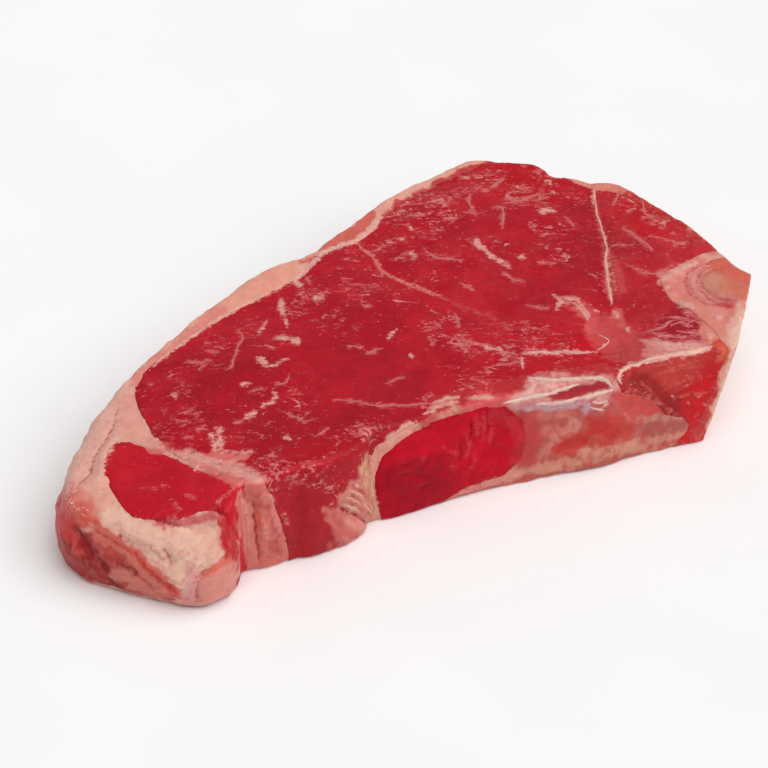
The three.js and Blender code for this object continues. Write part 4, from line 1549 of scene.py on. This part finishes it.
def finish(s, gloss, depth, scatter, shine=0.2):
    """The wet surface, its finest bumps, and the light that passes below it."""
    s.feed(s.surface.inputs["Roughness"], s.uneven(gloss - 0.08, gloss + 0.08, size=2.2))
    coarse = s.math("MULTIPLY", s.noise(2.4), 1.5)
    height = s.math("ADD", s.noise(0.55, detail=3.0, roughness=0.6), coarse)
    s.feed(s.surface.inputs["Normal"], s.bump(height, FINE_BUMP))
    s.surface.inputs["Specular IOR Level"].default_value = shine
    s.surface.inputs["Subsurface Weight"].default_value = scatter
    s.surface.inputs["Subsurface Radius"].default_value = (1.0, 0.3, 0.2)
    s.surface.inputs["Subsurface Scale"].default_value = depth * MM
    return s.material


def lean_material(name, mottle):
    """Raw red muscle: mottled, with faint threads, short flecks of marbling and crisp streaks of fat."""
    s = Shader(name)
    groups = s.step(s.noise(8), 0.38, 0.62, 0.45, 1.25)
    marbling = s.math("MULTIPLY", s.painted("marbling", "Fac"), groups)
    shade = s.math(
        "ADD",
        s.uneven(1 - mottle, 1 + mottle, size=9, detail=3.0, roughness=0.55),
        s.uneven(-mottle, mottle, size=1.7, detail=3.0, roughness=0.6, stretch=(1.4, 0.9, 1.4)),
    )
    colour = s.scale(s.painted("ground", "Color"), shade)
    for fleck in MARBLING:
        colour = lay_flecks(s, fleck, marbling, colour)
    s.feed(s.surface.inputs["Base Color"], lay_on_strokes(s, colour, rag=1.3))
    return finish(s, gloss=0.45, depth=1.2, scatter=0.15)


def soft_material(name):
    """Fat, gristle, cartilage, marrow or bone: mottled, blotched with a second colour, and its strokes."""
    s = Shader(name)
    soft = SOFT[name]
    shade = s.math(
        "ADD",
        s.uneven(1 - soft.mottle, 1 + soft.mottle, size=5, detail=3.0, roughness=0.6),
        s.step(s.noise(1.0, detail=3.0, roughness=0.6), 0.25, 0.75, -soft.mottle / 2, soft.mottle / 2),
    )
    colour = s.scale(s.painted("ground", "Color"), shade)
    blotches = s.noise(3.2, detail=3.0, roughness=0.6, distortion=1.0, stretch=(1.0, 1.0, 2.2))
    colour = s.mix(s.step(blotches, 0.48, 0.68, 0, soft.streak_share), colour, rgba(soft.streak))
    thread = s.math("ABSOLUTE", s.math("SUBTRACT", s.noise(4.0, distortion=1.2), 0.5))
    colour = s.mix(s.step(thread, 0.0, 0.03, 0.3 * soft.streak_share, 0), colour, rgba(soft.streak))
    colour = lay_flecks(s, CRUMBS_AND_GLINTS, s.painted("marbling", "Fac"), colour)
    s.feed(s.surface.inputs["Base Color"], lay_on_strokes(s, colour, rag=0.8))
    return finish(s, soft.gloss, soft.depth, soft.scatter, soft.shine)


MATERIALS = {"lean": lean_material("lean", mottle=0.08), "tail_lean": lean_material("tail_lean", mottle=0.06)}
MATERIALS.update((name, soft_material(name)) for name in SOFT)

level = TopLevel()
skins = [build_piece(node, level) for node in TISSUES]
bpy.context.view_layer.update()
build_strands(skins)


# Floor, light and camera
def plain_floor():
    """A pale, nearly even floor just below the object's underside."""
    half, below = 3.0, 0.05
    mesh = bpy.data.meshes.new("floor")
    corners = [(-half, -half, 0), (half, -half, 0), (half, half, 0), (-half, half, 0)]
    mesh.from_pydata(corners, [], [(0, 1, 2, 3)])
    floor = placed("floor", mesh)
    floor.location.z = -below * MM
    s = Shader("floor")
    tone = s.step(s.noise(60.0, 2.0), 0.3, 0.7)
    s.feed(s.surface.inputs["Base Color"], s.mix(tone, (0.93, 0.93, 0.93, 1), (0.95, 0.95, 0.95, 1)))
    s.surface.inputs["Roughness"].default_value = 0.7
    mesh.materials.append(s.material)


def soft_light(name, towards, spread, strength):
    """A wide light from far away, as even on the floor as on the object."""
    light = bpy.data.lights.new(name, "SUN")
    light.angle = math.radians(spread)
    light.energy = strength
    lamp = placed(name, light)
    lamp.rotation_euler = (-Vector(towards)).to_track_quat("-Z", "Y").to_euler()
    lamp.location = Vector(towards)


def surroundings(strength):
    """White light from all round."""
    world = bpy.data.worlds.new("surroundings")
    world.use_nodes = True
    background = world.node_tree.nodes["Background"]
    background.inputs["Color"].default_value = (1, 1, 1, 1)
    background.inputs["Strength"].default_value = strength
    bpy.context.scene.world = world


def camera():
    """The photograph's camera."""
    data = bpy.data.cameras.new("camera")
    data.lens = LENS
    data.sensor_width = SENSOR
    data.clip_end = 20
    turned = Matrix([[*row] for row in np.stack([RIGHT, UP, BACK], 1)]).to_4x4()
    viewer = placed("camera", data)
    viewer.matrix_world = Matrix.Translation(Vector((TARGET + BACK * DISTANCE) * MM)) @ turned
    bpy.context.scene.camera = viewer


plain_floor()
soft_light("key", towards=(0.22, -0.42, 0.88), spread=70, strength=2.4)
surroundings(strength=0.35)
camera()
bpy.context.scene.view_settings.view_transform = "Standard"
